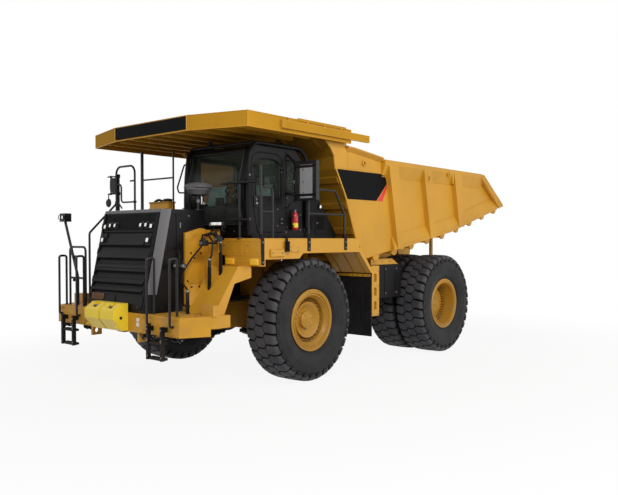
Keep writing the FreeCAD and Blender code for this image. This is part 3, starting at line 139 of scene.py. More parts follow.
class Finish:
    """A material being written: a Principled shader and the nodes that feed it."""

    def __init__(self, name):
        self.material = bpy.data.materials.new(name)
        self.material.use_nodes = True
        self.tree = self.material.node_tree
        self.shader = self.tree.nodes["Principled BSDF"]
        self.place = self.node("ShaderNodeTexCoord", out="Object")

    def node(self, kind, settings=None, inputs=None, out=0):
        """Adds a node, with its settings first and then its sockets' values or links."""
        made = self.tree.nodes.new(kind)
        for name, value in (settings or {}).items():
            setattr(made, name, value)
        for name, value in (inputs or {}).items():
            self.plug(made.inputs[name], value)
        return Link(self, made.outputs[out])

    def plug(self, socket, value):
        if isinstance(value, Link):
            self.tree.links.new(value.socket, socket)
        else:
            socket.default_value = value

    def stretched(self, x, y, z):
        """The place with each axis scaled."""
        return self.node("ShaderNodeVectorMath", {"operation": "MULTIPLY"}, {0: self.place, 1: (x, y, z)})

    def noise(self, scale, detail=3, rough=0.55, place=None):
        values = {"Vector": place or self.place, "Scale": scale, "Detail": detail, "Roughness": rough}
        return self.node("ShaderNodeTexNoise", None, values)

    def cells(self, scale, feature="F1", place=None):
        values = {"Vector": place or self.place, "Scale": scale}
        return self.node("ShaderNodeTexVoronoi", {"feature": feature}, values)

    def axis(self, index, vector=None):
        return self.node("ShaderNodeSeparateXYZ", None, {0: vector or self.place}, out=index)

    def facing_up(self):
        return self.axis(2, self.node("ShaderNodeNewGeometry", out="Normal"))

    def mix(self, factor, first, second):
        """Blend of two colours."""
        settings = {"data_type": "RGBA", "clamp_factor": True}
        return self.node("ShaderNodeMix", settings, {0: factor, 6: first, 7: second}, out=2)

    def bump(self, height, depth, strength=1, normal=None):
        values = {"Height": height, "Distance": depth, "Strength": strength}
        if normal:
            values["Normal"] = normal
        return self.node("ShaderNodeBump", None, values)

    def surface(self, **values):
        """Sets the Principled sockets, and gives the finished material."""
        for name, value in values.items():
            self.plug(self.shader.inputs[name.replace("_", " ").title().replace("Ior", "IOR")], value)
        return self.material


def colour(red, green, blue):
    """Linear colour from the usual 0-255 numbers."""
    def linear(value):
        share = value / 255
        return share / 12.92 if share <= 0.04045 else ((share + 0.055) / 1.055) ** 2.4
    return (linear(red), linear(green), linear(blue), 1)


def shade(tone, factor):
    return (tone[0] * factor, tone[1] * factor, tone[2] * factor, 1)


def enamel(name, tone, dull=0.36, dust=0.16, coat=0.12, grime=0.5, shine=0.3):
    """Sprayed machine enamel: slight tone changes, orange peel, dust above and road dirt below."""
    f = Finish(name)
    broad = f.noise(0.9, 2)
    streaks = f.noise(2.2, 4, 0.6, f.stretched(1, 1, 0.22))
    speck = f.noise(46, 5, 0.65)
    paint = f.mix(broad.fade(0.3, 0.7), shade(tone, 0.93), shade(tone, 1.05))
    paint = f.mix(streaks.fade(0.5, 0.82) * 0.3, paint, shade(tone, 0.72))
    lying = f.facing_up().fade(0.55, 0.98) * speck.fade(0.2, 0.75) * dust
    paint = f.mix(lying, paint, colour(176, 160, 132))
    low_dirt = f.axis(2).fade(1.7, 0.3) * f.noise(3.4, 6, 0.7).fade(0.4, 0.68) * grime
    paint = f.mix(low_dirt, paint, colour(112, 94, 70))
    chips = f.cells(19).fade(0.075, 0.045) * f.noise(2.6, 2).fade(0.6, 0.68)
    paint = f.mix(chips, paint, shade(tone, 0.3))
    rough = dull + 0.22 * low_dirt + 0.3 * lying + 0.1 * speck
    peel = f.bump(f.noise(170, 2), 0.0006, 0.25)
    sheet = f.bump(f.noise(1.7, 1), 0.012, 0.35, peel)
    pitted = f.bump(chips, 0.0006, -0.6, sheet)
    return f.surface(base_color=paint, roughness=rough, coat_weight=coat - coat * lying, normal=pitted,
        coat_roughness=0.18, specular_ior_level=shine)


def rubber(name, tone, dull=0.72, dust=0.3):
    """Weathered tyre or hose rubber with dust in its pores."""
    f = Finish(name)
    grain = f.noise(34, 6, 0.7)
    worn = f.noise(3.1, 4, 0.6)
    base = f.mix(worn.fade(0.3, 0.7), shade(tone, 0.8), shade(tone, 1.2))
    powder = grain.fade(0.52, 0.74) * worn.fade(0.35, 0.65) * dust
    base = f.mix(powder, base, colour(120, 110, 100))
    skin = f.bump(grain, 0.0022, 0.55)
    pores = f.bump(f.cells(190), 0.0008, 0.35, skin)
    return f.surface(base_color=base, roughness=dull + 0.16 * powder - 0.12 * worn, normal=pores,
        specular_ior_level=0.14)


def steel(name, tone, dull=0.34, metal=0.85, stain=0.4):
    """Bare or plated metal with drawn lines and a little rust."""
    f = Finish(name)
    lines = f.noise(120, 3, 0.6, f.stretched(1, 1, 0.06))
    blotch = f.noise(7, 5, 0.65).fade(0.56, 0.76) * stain
    base = f.mix(lines, shade(tone, 0.85), shade(tone, 1.08))
    base = f.mix(blotch, base, colour(92, 62, 42))
    scratched = f.bump(lines, 0.0005, 0.4)
    return f.surface(base_color=base, roughness=dull + 0.3 * blotch + 0.1 * lines,
        metallic=metal - 0.7 * blotch, normal=scratched)


def moulded(name, tone, dull=0.55, grain=260):
    """Grained moulded plastic or satin powder coat."""
    f = Finish(name)
    leather = f.cells(grain)
    scuff = f.noise(9, 5, 0.65).fade(0.5, 0.8)
    base = f.mix(scuff * 0.35, tone, shade(tone, 1.9))
    lying = f.facing_up().fade(0.6, 1) * f.noise(28, 4).fade(0.4, 0.7) * 0.22
    base = f.mix(lying, base, colour(150, 142, 128))
    relief = f.bump(leather, 0.0007, 0.4)
    return f.surface(base_color=base, roughness=dull + 0.18 * scuff, normal=relief, specular_ior_level=0.25)


def weave(name, tone):
    """Close woven seat cloth with a soft sheen."""
    f = Finish(name)
    thread = f.node("ShaderNodeTexWave", {"wave_type": "BANDS", "bands_direction": "DIAGONAL"},
        {"Vector": f.place, "Scale": 140, "Distortion": 2})
    cross = f.node("ShaderNodeTexWave", {"wave_type": "BANDS", "bands_direction": "Y"}, {"Vector": f.place,
        "Scale": 120, "Distortion": 1.5})
    worn = f.noise(6, 4).fade(0.4, 0.7)
    base = f.mix(thread * cross, shade(tone, 0.72), shade(tone, 1.2))
    base = f.mix(worn * 0.3, base, shade(tone, 1.5))
    relief = f.bump(thread + cross, 0.0012, 0.5)
    return f.surface(base_color=base, roughness=0.82 + 0.08 * worn, normal=relief)


def window(name, tone, clear=0.1):
    """Thin tinted pane: mostly clear, with a film of dust and sharp reflections."""
    f = Finish(name)
    film = f.noise(5, 6, 0.7).fade(0.35, 0.8) * 0.05
    base = f.mix(film, tone, colour(150, 146, 132))
    return f.surface(base_color=base, roughness=0.03 + 0.5 * film, alpha=clear + film)


def lens(name, tone, glow=0):
    """Moulded lamp lens with prism lines."""
    f = Finish(name)
    prisms = f.node("ShaderNodeTexWave", {"wave_type": "BANDS", "bands_direction": "Z"}, {"Vector": f.place,
        "Scale": 34})
    base = f.mix(prisms, shade(tone, 0.86), tone)
    relief = f.bump(prisms, 0.002, 0.5)
    return f.surface(base_color=base, roughness=0.1 + 0.08 * prisms, normal=relief, coat_weight=0.6,
        emission_color=base, emission_strength=glow)


def grip_plate(name, tone):
    """Walkway plate punched with raised grip rings."""
    f = Finish(name)
    buttons = f.cells(24, place=f.stretched(1, 1, 0)).fade(0.3, 0.22)
    wear = f.noise(2.4, 4, 0.6).fade(0.45, 0.7)
    base = f.mix(buttons * 0.35, tone, shade(tone, 0.65))
    base = f.mix(wear * 0.3, base, colour(150, 138, 116))
    relief = f.bump(buttons, 0.003, 0.7)
    return f.surface(base_color=base, roughness=0.5 + 0.2 * wear, normal=relief)


MACHINE = colour(204, 149, 40)
yellow = enamel("machine_enamel", MACHINE)
enamel_body = enamel("body_enamel", shade(MACHINE, 0.97), 0.42, 0.26, 0.08, 0.3)
# Machine yellow darkened to 0.6: painted shade for parts that sit in shadow; its grime setting is road dirt.
shaded = enamel("painted_shade_enamel", shade(MACHINE, 0.6), 0.5, 0.16, 0.04, 0.9, 0.2)
# Machine yellow darkened to 0.42: painted deep shade for the body's front wall and the parts under the
# canopy.
painted_deep_shade = enamel("painted_deep_shade_enamel", shade(MACHINE, 0.42), 0.5, 0.1, 0.04, 0.3, 0.15)
# Machine yellow darkened to 0.72: painted shade of the rims sunk inside the tyres.
wheel_shaded_enamel = enamel("wheel_painted_shade_enamel", shade(MACHINE, 0.72), 0.34, 0.1, 0.12, 0.35)
enamel_guard = enamel("guard_enamel", colour(246, 214, 52), 0.34, 0.12, 0.15, 0.25)
black = enamel("black_enamel", colour(16, 15, 16), 0.4, 0.07, 0.03, 0.1, 0.11)
enamel_rail = enamel("rail_enamel", colour(19, 18, 20), 0.3, 0.05, 0.1, 0.08, 0.26)
# Machine yellow darkened to 0.8: painted shade on the canopy, with heavier dust.
canopy_shaded_enamel = enamel("canopy_painted_shade_enamel", shade(MACHINE, 0.8), 0.62, 0.26, 0, 0.3, 0.08)
# Light grey: painted reflection of the bright surround on the nose's black chamfer strips and top lip.
grey = enamel("painted_reflection_enamel", colour(104, 102, 104), 0.4, 0.1, 0.1, 0.2)
enamel_red = enamel("red_enamel", colour(186, 30, 34), 0.3, 0.06, 0.3, 0.1)
sticker_black = enamel("black_film", colour(11, 11, 12), 0.5, 0.01, 0, 0, 0.05)
sticker_red = enamel("red_film", colour(214, 42, 40), 0.3, 0.05, 0.3, 0)
sticker_white = enamel("white_film", colour(226, 222, 214), 0.3, 0.05, 0.3, 0)
tread_rubber = rubber("tread_rubber", colour(72, 71, 75), 0.66, 0.08)
wall_rubber = rubber("sidewall_rubber", colour(38, 37, 38), 0.6, 0.14)
# Near-black groove rubber, darker than the sidewall: rubber with painted shade in the grooves and behind the
# grille.
painted_shade_rubber = rubber("painted_shade_rubber", colour(9, 8, 8), 0.9, 0.12)
hose = rubber("hose_rubber", colour(22, 21, 22), 0.5, 0.2)
flap_rubber = rubber("flap_rubber", colour(28, 27, 28), 0.7, 0.18)
plated = steel("plated_steel", colour(122, 120, 116), 0.42, 0.9, 0.3)
raw_steel = steel("worn_steel", colour(120, 112, 102), 0.5, 0.7, 0.7)
chrome = steel("hard_chrome", colour(214, 214, 216), 0.12, 1, 0.05)
plastic = moulded("black_plastic", colour(26, 26, 27), 0.5)
grey_plastic = moulded("grey_plastic", colour(96, 96, 98), 0.5)
grey_plate = moulded("grey_plate", colour(142, 142, 146), 0.45)
trim_plastic = moulded("trim_plastic", colour(36, 35, 35), 0.6, 320)
seat_cloth = weave("seat_cloth", colour(104, 132, 126))
window_glass = window("window_glass", colour(84, 96, 86))
mirror_face = steel("mirror_face", colour(196, 202, 206), 0.05, 1, 0)
clear_lens = lens("clear_lens", colour(240, 240, 236), 0.35)
amber_lens = lens("amber_lens", colour(246, 186, 40), 0.12)
red_lens = lens("red_lens", colour(186, 26, 24), 0.08)
scoured_steel = steel("scoured_steel", colour(120, 112, 100), 0.46, 0.55, 0.8)
walkway = grip_plate("walkway_plate", shade(MACHINE, 0.9))


# ---------- shapes
def across(direction):
    """Two unit vectors square to a direction."""
    direction = Vector(direction).normalized()
    other = UP if abs(direction.z) < 0.9 else AHEAD
    first = direction.cross(other).normalized()
    return first, direction.cross(first)


def circle(centre, u, v, radius, count, start=0):
    """Points evenly round a centre, in the plane of two unit vectors."""
    angles = [start + 2 * math.pi * i / count for i in range(count)]
    return [centre + (u * math.cos(angle) + v * math.sin(angle)) * radius for angle in angles]


class Shape:
    """Gathers faces in the frame's place, mostly in one finish, and then becomes one piece."""

    def __init__(self, finish=None):
        self.finish = finish
        self.points = []
        self.faces = []
        self.finish_of = []
        self.finishes = []

    def add(self, points, faces, finish=None):
        finish = finish or self.finish
        if finish not in self.finishes:
            self.finishes.append(finish)
        start = len(self.points)
        self.points += [Vector(p) for p in points]
        self.faces += [[start + i for i in face] for face in faces]
        self.finish_of += [self.finishes.index(finish)] * len(faces)

    def loft(self, rings, finish=None, closed=True, caps=True, loop=False):
        """Skin through rings of equally many points; loop joins the last ring to the first."""
        count = len(rings[0])
        points = [p for r in rings for p in r]
        faces = []
        spans = len(rings) if loop else len(rings) - 1
        for i in range(spans):
            a, b = i * count, (i + 1) % len(rings) * count
            for j in range(count if closed else count - 1):
                k = (j + 1) % count
                faces.append((a + j, a + k, b + k, b + j))
        if caps and not loop:
            faces.append(tuple(reversed(range(count))))
            faces.append(tuple(range(len(points) - count, len(points))))
        self.add(points, faces, finish)

    def box(self, lo, hi, finish=None, turn=None):
        """Box between two opposite corners, turned about its middle if asked."""
        lo, hi = Vector(lo), Vector(hi)
        lo.y, hi.y = sorted((lo.y, hi.y))
        corners = [vec(x, y, z) for z in (lo.z, hi.z) for x, y in ((lo.x, lo.y), (hi.x, lo.y), (hi.x, hi.y),
            (lo.x, hi.y))]
        if turn:
            pivot = (lo + hi) / 2
            corners = [pivot + turn @ (c - pivot) for c in corners]
        self.loft([corners[:4], corners[4:]], finish)

    def prism(self, outline, shift, finish=None):
        """Flat outline pushed along a vector."""
        shift = Vector(shift)
        outline = [Vector(p) for p in outline]
        self.loft([outline, [p + shift for p in outline]], finish)

    def plate(self, outline, y, thick, finish=None):
        """Upright plate: (x, z) pairs from the front axle and the ground, from y on by thick."""
        self.prism(upright(y, outline), (0, thick, 0), finish)

    def disc(self, centre, axis, profile, sides=24, finish=None, caps=True):
        """Turned shape: profile pairs are (distance along the axis, radius)."""
        axis = Vector(axis).normalized()
        places = [(Vector(centre) + axis * reach, radius) for reach, radius in profile]
        rings = [circle(place, *across(axis), radius, sides) for place, radius in places]
        self.loft(rings, finish, caps=caps)

    def rod(self, start, end, radius, sides=12, finish=None):
        start, end = Vector(start), Vector(end)
        length = (end - start).length
        edge = min(radius * 0.25, length * 0.3)
        profile = [(0, radius - edge), (edge, radius), (length - edge, radius), (length, radius - edge)]
        self.disc(start, end - start, profile, sides, finish)

    def bolt(self, place, axis, size, finish=None):
        """Hexagon head on a washer, plated unless said; size is half the head's width."""
        finish = finish or plated
        washer, head = size * 1.5, size * 0.86
        self.disc(place, axis, [(-0.3 * size, washer), (0.15 * size, washer), (0.2 * size, 1.4 * size)], 14,
            finish)
        self.disc(place, axis, [(0.2 * size, size), (0.85 * size, size), (0.98 * size, head)], 6, finish)

    def bolts(self, xs, ys, zs, axis, size, finish=None):
        """Bolts at every meeting of the values given along X, Y and Z; one value may stand alone."""
        for x, y, z in product(*(v if isinstance(v, tuple) else (v,) for v in (xs, ys, zs))):
            self.bolt(at(x, y, z), axis, size, finish)

    def pipe(self, path, radius, sides=10, finish=None):
        """Round pipe through points, its corners rounded with Bezier bends."""
        points = rounded(path)
        rings = []
        up = None
        for i, p in enumerate(points):
            before, after = points[max(i - 1, 0)], points[min(i + 1, len(points) - 1)]
            direction = (after - before).normalized()
            if up is None:
                up = across(direction)[0]
            up = (up - direction * up.dot(direction)).normalized()
            side = direction.cross(up)
            rings.append(circle(p, up, side, radius, sides))
        self.loft(rings, finish)

    def mirror(self):
        """Adds the same faces on the other side of the centre plane."""
        start = len(self.points)
        self.points += [vec(p.x, -p.y, p.z) for p in self.points]
        self.faces += [[start + i for i in reversed(face)] for face in self.faces]
        self.finish_of += list(self.finish_of)
        return self

    def piece(self, name, slot="body_paint", edge=0, body="chassis", sharp=38):
        """Makes the mesh object, rounds its edges and lets it ride on a body."""
        mesh = bpy.data.meshes.new(name)
        mesh.from_pydata([tuple(p) for p in self.points], [], self.faces)
        for finish in self.finishes:
            mesh.materials.append(finish)
        mesh.polygons.foreach_set("material_index", self.finish_of)
        mesh.polygons.foreach_set("use_smooth", [True] * len(self.faces))
        mesh.set_sharp_from_angle(angle=math.radians(sharp))
        thing = bpy.data.objects.new(name, mesh)
        bpy.context.scene.collection.objects.link(thing)
        if edge:
            rounding = thing.modifiers.new("edges", "BEVEL")
            rounding.width = edge
            rounding.segments = 2
            rounding.angle_limit = math.radians(sharp)
            rounding.harden_normals = True
        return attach(thing, body)


def rounded(path):
    """Path with each corner replaced by a short Bezier bend."""
    path = [Vector(p) for p in path]
    if len(path) < 3:
        return path
    points = [path[0]]
    for before, corner, after in zip(path, path[1:], path[2:]):
        run = min((corner - before).length, (after - corner).length) * 0.35
        start = corner + (before - corner).normalized() * run
        end = corner + (after - corner).normalized() * run
        for i in range(7):
            t = i / 6
            points.append(start * (1 - t) ** 2 + corner * 2 * t * (1 - t) + end * t * t)
    return points + [path[-1]]


# ---------- tyres
pitches = 34
pitch_angle = 2 * math.pi / pitches
groove_depth = 0.052
hexagon_in = 0.062       # the middle lugs' flat part reaches this far from the crown's middle
hexagon_out = 0.122      # and their points this far
crown_edge = 0.36        # end of the shoulder lugs, measured along the crown
lug_slant = 0.26


def crown_point(s, sink=0):
    """Radius and offset of the tread surface at a distance from the crown's middle."""
    span = abs(s)
    flat, bend = 0.235, 0.075
    if span <= flat:
        radius, offset = tyre_r - 0.006 * (span / flat) ** 2, span
    else:
        turn = min((span - flat) / bend, 1) * math.radians(62)
        radius = tyre_r - 0.006 - bend * (1 - math.cos(turn))
        offset = flat + bend * math.sin(turn)
        rest = max(span - flat - bend, 0)
        radius -= rest * math.sin(math.radians(78))
        offset += rest * math.cos(math.radians(78))
    lean = min(max((span - flat) / 0.1, 0), 1)
    radius -= sink * (1 - 0.75 * lean)
    offset = min(offset, tyre_half) - sink * 0.55 * lean
    return radius, math.copysign(offset, s)


def round_tyre(turn, radius, offset):
    """Point at an angle from the tyre's top."""
    return vec(math.sin(turn) * radius, offset, math.cos(turn) * radius)


def lug(tyre, place, side, stations):
    """One tread block: stations are (s, low edge, high edge) in pitches round the tyre."""
    chamfer = 0.007 / (tyre_r * pitch_angle)
    rings = []
    last = len(stations) - 1
    for i, (s, lo, hi) in enumerate(stations):
        ends = i in (0, last)
        mid = (lo + hi) / 2
        tops = [lo + chamfer, lo + (hi - lo) * 0.33, mid, lo + (hi - lo) * 0.67, hi - chamfer]
        sinks = [groove_depth, 0.008] + [0.008 if ends else 0] * 5 + [0.008, groove_depth]
        turns = [lo - 0.035, lo] + tops + [hi, hi + 0.035]
        ring = []
        for turn, sink in zip(turns, sinks):
            radius, offset = crown_point(side * s, sink)
            ring.append(round_tyre((place + turn) * pitch_angle, radius, offset))
        rings.append(ring)
    for end, s_out in ((0, -0.012), (last, 0.012)):
        s, lo, hi = stations[end]
        skirt = []
        for k in range(9):
            turn = lo - 0.035 + (hi - lo + 0.07) * k / 8
            radius, offset = crown_point(side * (s + s_out), groove_depth)
            skirt.append(round_tyre((place + turn) * pitch_angle, radius, offset))
        rings.insert(0 if end == 0 else len(rings), skirt)
    tyre.loft(rings, tread_rubber, False, False)


def slanted(rows):
    """Stations from pairs of a distance across the crown and half the lug's length there."""
    return [(s, lug_slant * s / crown_edge - half, lug_slant * s / crown_edge + half) for s, half in rows]


def middle_stations():
    """The six-sided middle lug, from point to point across the crown."""
    full = 0.412    # half the length of the flat part, in pitches
    return slanted([(0.016 - hexagon_out, 0.09), (-hexagon_in, full), (0, full), (hexagon_in, full),
        (hexagon_out - 0.016, 0.09)])


def shoulder_stations():
    """Outer lug, pointed between two middle lugs and running over the shoulder."""
    return slanted([(hexagon_in + 0.022, 0.09), (hexagon_out + 0.012, 0.4), (0.19, 0.385), (0.235, 0.375),
        (0.262, 0.37), (0.285, 0.375), (0.31, 0.365), (crown_edge - 0.012, 0.35), (crown_edge, 0.33)])


def carcass(tyre, steps):
    """Groove floor in near-black rubber with painted shade, sidewalls with their rings, and beads."""
    profile = [(0.485, 0.2), (0.476, 0.243), (0.53, 0.249), (0.548, 0.262), (0.56, 0.276), (0.585, 0.29),
        (0.592, 0.297), (0.6, 0.297), (0.64, 0.312), (0.7, 0.324), (0.752, 0.328), (0.757, 0.332),
        (0.766, 0.332), (0.771, 0.329), (0.82, 0.329), (0.866, 0.326), (0.872, 0.33), (0.884, 0.328),
        (0.89, 0.322), (0.925, 0.312)]
    half = profile + [crown_point(s, groove_depth + 0.001) for s in (0.33, 0.3, 0.27, 0.235, 0.12, 0)]
    outline = half + [(radius, -offset) for radius, offset in reversed(half[:-1])]
    for first, last, finish in ((0, 19, wall_rubber), (19, len(outline) - 20, painted_shade_rubber),
            (len(outline) - 20, len(outline) - 1, wall_rubber)):
        rings = [[round_tyre(2 * math.pi * i / steps, radius, offset) for i in range(steps)] for radius,
            offset in outline[first:last + 1]]
        tyre.loft(rings, finish, caps=False)


def tyre_shape():
    """One tyre about the origin, axle along Y."""
    tyre = Shape(wall_rubber)
    carcass(tyre, pitches * 4)
    for k in range(pitches):
        lug(tyre, k, LEFT, middle_stations())
        for side in (LEFT, RIGHT):
            mirrored = [(s, -hi, -lo) for s, lo,
                hi in shoulder_stations()] if side < 0 else shoulder_stations()
            lug(tyre, k + 0.5, side, mirrored)
        for side in (LEFT, RIGHT):
            angle = (k + 0.5) * pitch_angle
            out = vec(math.sin(angle), 0, math.cos(angle))
            along = vec(math.cos(angle), 0, -math.sin(angle))
            feet = [out * 0.9 + along * w for w in (-0.034, 0.034)] + [out * 0.945 + along * w
                for w in (0.05, -0.05)]
            tyre.loft([[p + vec(0, side * 0.31, 0) for p in feet],
                [p * 0.997 + vec(0, side * (tyre_half + 0.003), 0) for p in feet]])
    return tyre


def tyre_piece(master, name, node, body, places, turn=0):
    """Tyre, or twins, cut from one pattern."""
    both = Shape()
    both.finishes = master.finishes
    for index, place in enumerate(places):
        spin = Matrix.Rotation(turn + 0.07 * index, 3, "Y")
        start = len(both.points)
        both.points += [place + spin @ p for p in master.points]
        both.faces += [[start + i for i in face] for face in master.faces]
        both.finish_of += master.finish_of
    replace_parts(both.piece(name, "tyre_rubber", body=body, sharp=30), node)


def tyres():
    master = tyre_shape()
    for side, sign in SIDES:
        tyre_piece(master, f"tyre_front_{side}", f"front_tyre_{side}", f"front_wheel_{side}",
            [vec(front_x, sign * front_wheel_y, axle_z)], 0.02)
        tyre_piece(master, f"tyres_rear_{side}", f"rear_tyres_{side}", f"rear_wheels_{side}",
            [vec(rear_x, sign * y, axle_z) for y in (rear_inner_y, rear_outer_y)], 0.05)


# ---------- wheels
# Wheel profiles are (reach, radius) pairs, from the tyre's bead to the hub. Both start with the lock rings.
rim_rings = [(0.2, 0.468), (0.245, 0.475), (0.247, 0.505), (0.252, 0.522), (0.262, 0.526), (0.271, 0.52),
    (0.272, 0.5), (0.262, 0.488), (0.266, 0.478), (0.276, 0.474), (0.277, 0.462), (0.262, 0.456),
    (0.25, 0.45), (0.252, 0.438)]
front_wheel = rim_rings + [(0.262, 0.434), (0.262, 0.424), (0.24, 0.416), (0.225, 0.398), (0.2, 0.388),
    (0.19, 0.38), (0.07, 0.376), (0.06, 0.37), (0.06, 0.318), (0.07, 0.312), (0.166, 0.308), (0.175, 0.3),
    (0.172, 0.286), (0.128, 0.235), (0.102, 0.195), (0.095, 0.182), (0.095, 0.156), (0.1, 0.15),
    (0.15, 0.146), (0.158, 0.138), (0.16, 0.1), (0.166, 0.096), (0.168, 0.05), (0.178, 0.045), (0.18, 0.02),
    (0.18, 0.001)]
rear_wheel = rim_rings + [(0.258, 0.432), (0.24, 0.426), (-0.055, 0.42), (-0.065, 0.416), (-0.07, 0.41),
    (-0.07, 0.35), (-0.062, 0.342), (-0.02, 0.337), (-0.005, 0.331), (0, 0.32), (0, 0.27), (0.006, 0.262),
    (0.018, 0.256), (0.034, 0.246), (0.04, 0.236), (0.042, 0.15), (0.036, 0.142), (0.036, 0.06),
    (0.044, 0.055), (0.044, 0.001)]


def ring_places(centre, axis, radius, count, reach, start=0):
    """Evenly spaced places round an axle, reach along it."""
    return circle(Vector(centre) + Vector(axis) * reach, *across(axis), radius, count, start)


def wheel_face(side, name, node, body, centre, profile, studs, drive_bolts, back_reach, inner_reach, wall):
    """Turned wheel with wedge clamps and their studs, hub bolts and a valve."""
    # rim and hub in the wheel finish, whose darkened yellow is painted shade
    wheel = Shape(wheel_shaded_enamel)
    out = dict(SIDES)[side]
    axis = vec(0, out, 0)
    wheel.disc(centre, axis, profile, 96, caps=False)
    back = [(inner_reach - 0.271, 0.44), (inner_reach - 0.271, 0.524), (inner_reach - 0.247, 0.524),
        (inner_reach - 0.245, 0.472), (0.2, 0.469)]
    wheel.disc(centre, axis, back, 72, caps=False)
    inside = [(inner_reach - 0.2, 0.425), (inner_reach - 0.27, 0.428), (inner_reach - 0.271, 0.44)]
    wheel.disc(centre, axis, [(back_reach, 0.14), (back_reach, 0.39), (back_reach - 0.01, 0.42)] + inside,
        72, caps=False)
    radius, count, reach, rise = studs
    for place in ring_places(centre, axis, radius, count, reach, 0.05):
        wheel.disc(place, axis, [(-0.004, 0.024), (rise - 0.01, 0.022), (rise, 0.018)], 8)
        wheel.disc(place + axis * rise, axis, [(0, 0.0155), (0.018, 0.0155), (0.022, 0.0125)], 6)
        wheel.disc(place + axis * rise, axis, [(0.02, 0.009), (0.032, 0.009), (0.035, 0.006)], 10, plated)
    for bolt_radius, bolt_count, bolt_reach, size in drive_bolts:
        for place in ring_places(centre, axis, bolt_radius, bolt_count, bolt_reach, 0.11):
            wheel.bolt(place, axis, size, wheel_shaded_enamel)
    valve = Vector(centre) + axis * 0.2 + vec(0.949, 0, 0.316) * wall
    wheel.rod(valve, valve + vec(0, out * 0.06, 0), 0.007, 8, plated)
    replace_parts(wheel.piece(name, body=body, sharp=32), node)


def wheels():
    twin = rear_outer_y - rear_inner_y
    for side, sign in SIDES:
        wheel_face(side, f"wheel_front_{side}", f"front_rim_{side}", f"front_wheel_{side}",
            (front_x, sign * front_wheel_y, axle_z), front_wheel, (0.345, 28, 0.06, 0.065),
            [(0.169, 12, 0.095, 0.011), (0.118, 6, 0.16, 0.009)], -0.06, 0, 0.387)
        wheel_face(side, f"wheel_rear_{side}", f"rear_rim_{side}", f"rear_wheels_{side}",
            (rear_x, sign * rear_outer_y, axle_z), rear_wheel, (0.384, 40, -0.07, 0.095),
            [(0.3, 24, 0, 0.012), (0.2, 12, 0.041, 0.011), (0.1, 3, 0.036, 0.016)], -0.13, -twin, 0.417)


# ---------- small fittings used all over
def bead(shape, path, radius=0.007, step=0.035, finish=None):
    """Weld bead: a low ripple along straight runs."""
    for start, end in zip(path, path[1:]):
        start, end = Vector(start), Vector(end)
        count = max(2, int((end - start).length / step))
        u, v = across(end - start)
        rings = []
        for i in range(count + 1):
            swell = radius * (0.86 + 0.28 * (i % 2))
            middle = start.lerp(end, i / count)
            rings.append(circle(middle, u, v, swell, 6))
        shape.loft(rings, finish)


def bolt_row(shape, start, end, count, axis, size, finish=None):
    start, end = Vector(start), Vector(end)
    for i in range(count):
        shape.bolt(start.lerp(end, i / max(count - 1, 1)), axis, size, finish)


def rounded_square(centre, u, v, wide, tall, corner, steps=4):
    """Ring of points round a rectangle with rounded corners."""
    ring = []
    for turn, (a, b) in enumerate(((1, 1), (-1, 1), (-1, -1), (1, -1))):
        for i in range(steps):
            angle = math.pi / 2 * (turn + i / (steps - 1))
            ring.append(centre + u * (a * (wide - corner) + corner * math.cos(angle)) + v
                * (b * (tall - corner) + corner * math.sin(angle)))
    return ring


def pad(shape, centre, axis, wide, tall, depth, corner=0.02, dome=0, finish=None, up=UP):
    """Raised rectangular plate with rounded corners, standing depth off its seat."""
    axis = Vector(axis).normalized()
    up = Vector(up).normalized()
    side = up.cross(axis).normalized()
    centre = Vector(centre)
    edge = min(0.3 * depth, 0.3 * corner)
    levels = [(0, 0), (depth - edge, 0), (depth, edge)]
    if dome:
        levels += [(depth + 0.7 * dome, 0.35 * tall), (depth + dome, 0.7 * tall)]
    rings = [rounded_square(centre + axis * reach, side, up, max(wide - inset, 0.2 * wide),
        max(tall - inset, 0.2 * tall), max(corner - inset, 0.2 * corner)) for reach, inset in levels]
    shape.loft(rings, finish)


def square_lamp(shape, centre, axis, half, up=UP):
    """Square work lamp: case, bezel and a domed lens set into it."""
    axis = Vector(axis).normalized()
    up = Vector(up).normalized()
    side = up.cross(axis).normalized()
    centre = Vector(centre)
    levels = [(0, 1), (0.03, 1), (0.036, 0.95), (0.036, 0.84), (0.024, 0.82)]
    rings = [rounded_square(centre + axis * reach, side, up, half * share, half * share, half * 0.3 * share)
        for reach, share in levels]
    shape.loft(rings, plastic)
    dome = [(0.022, 0.82), (0.03, 0.74), (0.034, 0.5), (0.035, 0.2)]
    rings = [rounded_square(centre + axis * reach, side, up, half * share, half * share,
        half * 0.34 * share) for reach, share in dome]
    shape.loft(rings, clear_lens)


def lattice(shape, corner, u, v, wide, tall, pitch, slant, bar, depth):
    """Expanded metal: two families of slanting flat bars over a rectangle."""
    u, v = Vector(u), Vector(v)
    out = u.cross(v).normalized()
    for lean in (slant, -slant):
        run = Vector((math.cos(lean), math.sin(lean)))
        step = pitch / abs(math.sin(lean))
        shift = tall / abs(math.tan(lean))
        first = -shift if lean > 0 else 0
        for i in range(int((wide + shift) / step) + 1):
            foot = first + step * (i + 0.5)
            ends = []
            for t in (0, 1):
                x = foot + t * tall * run.x / run.y
                y = t * tall
                if x < 0 or x > wide:
                    x, y = min(max(x, 0), wide), (min(max(x, 0), wide) - foot) * run.y / run.x
                ends.append(Vector((x, y)))
            if (ends[1] - ends[0]).length < 2 * bar or not (-0.001 < ends[0].y < tall + 0.001):
                continue
            half = Vector((-run.y, run.x)) * bar / 2
            flat = [ends[0] - half, ends[1] - half, ends[1] + half, ends[0] + half]
            ring = [Vector(corner) + u * p.x + v * p.y for p in flat]
            shape.loft([ring, [p + out * depth for p in ring]])


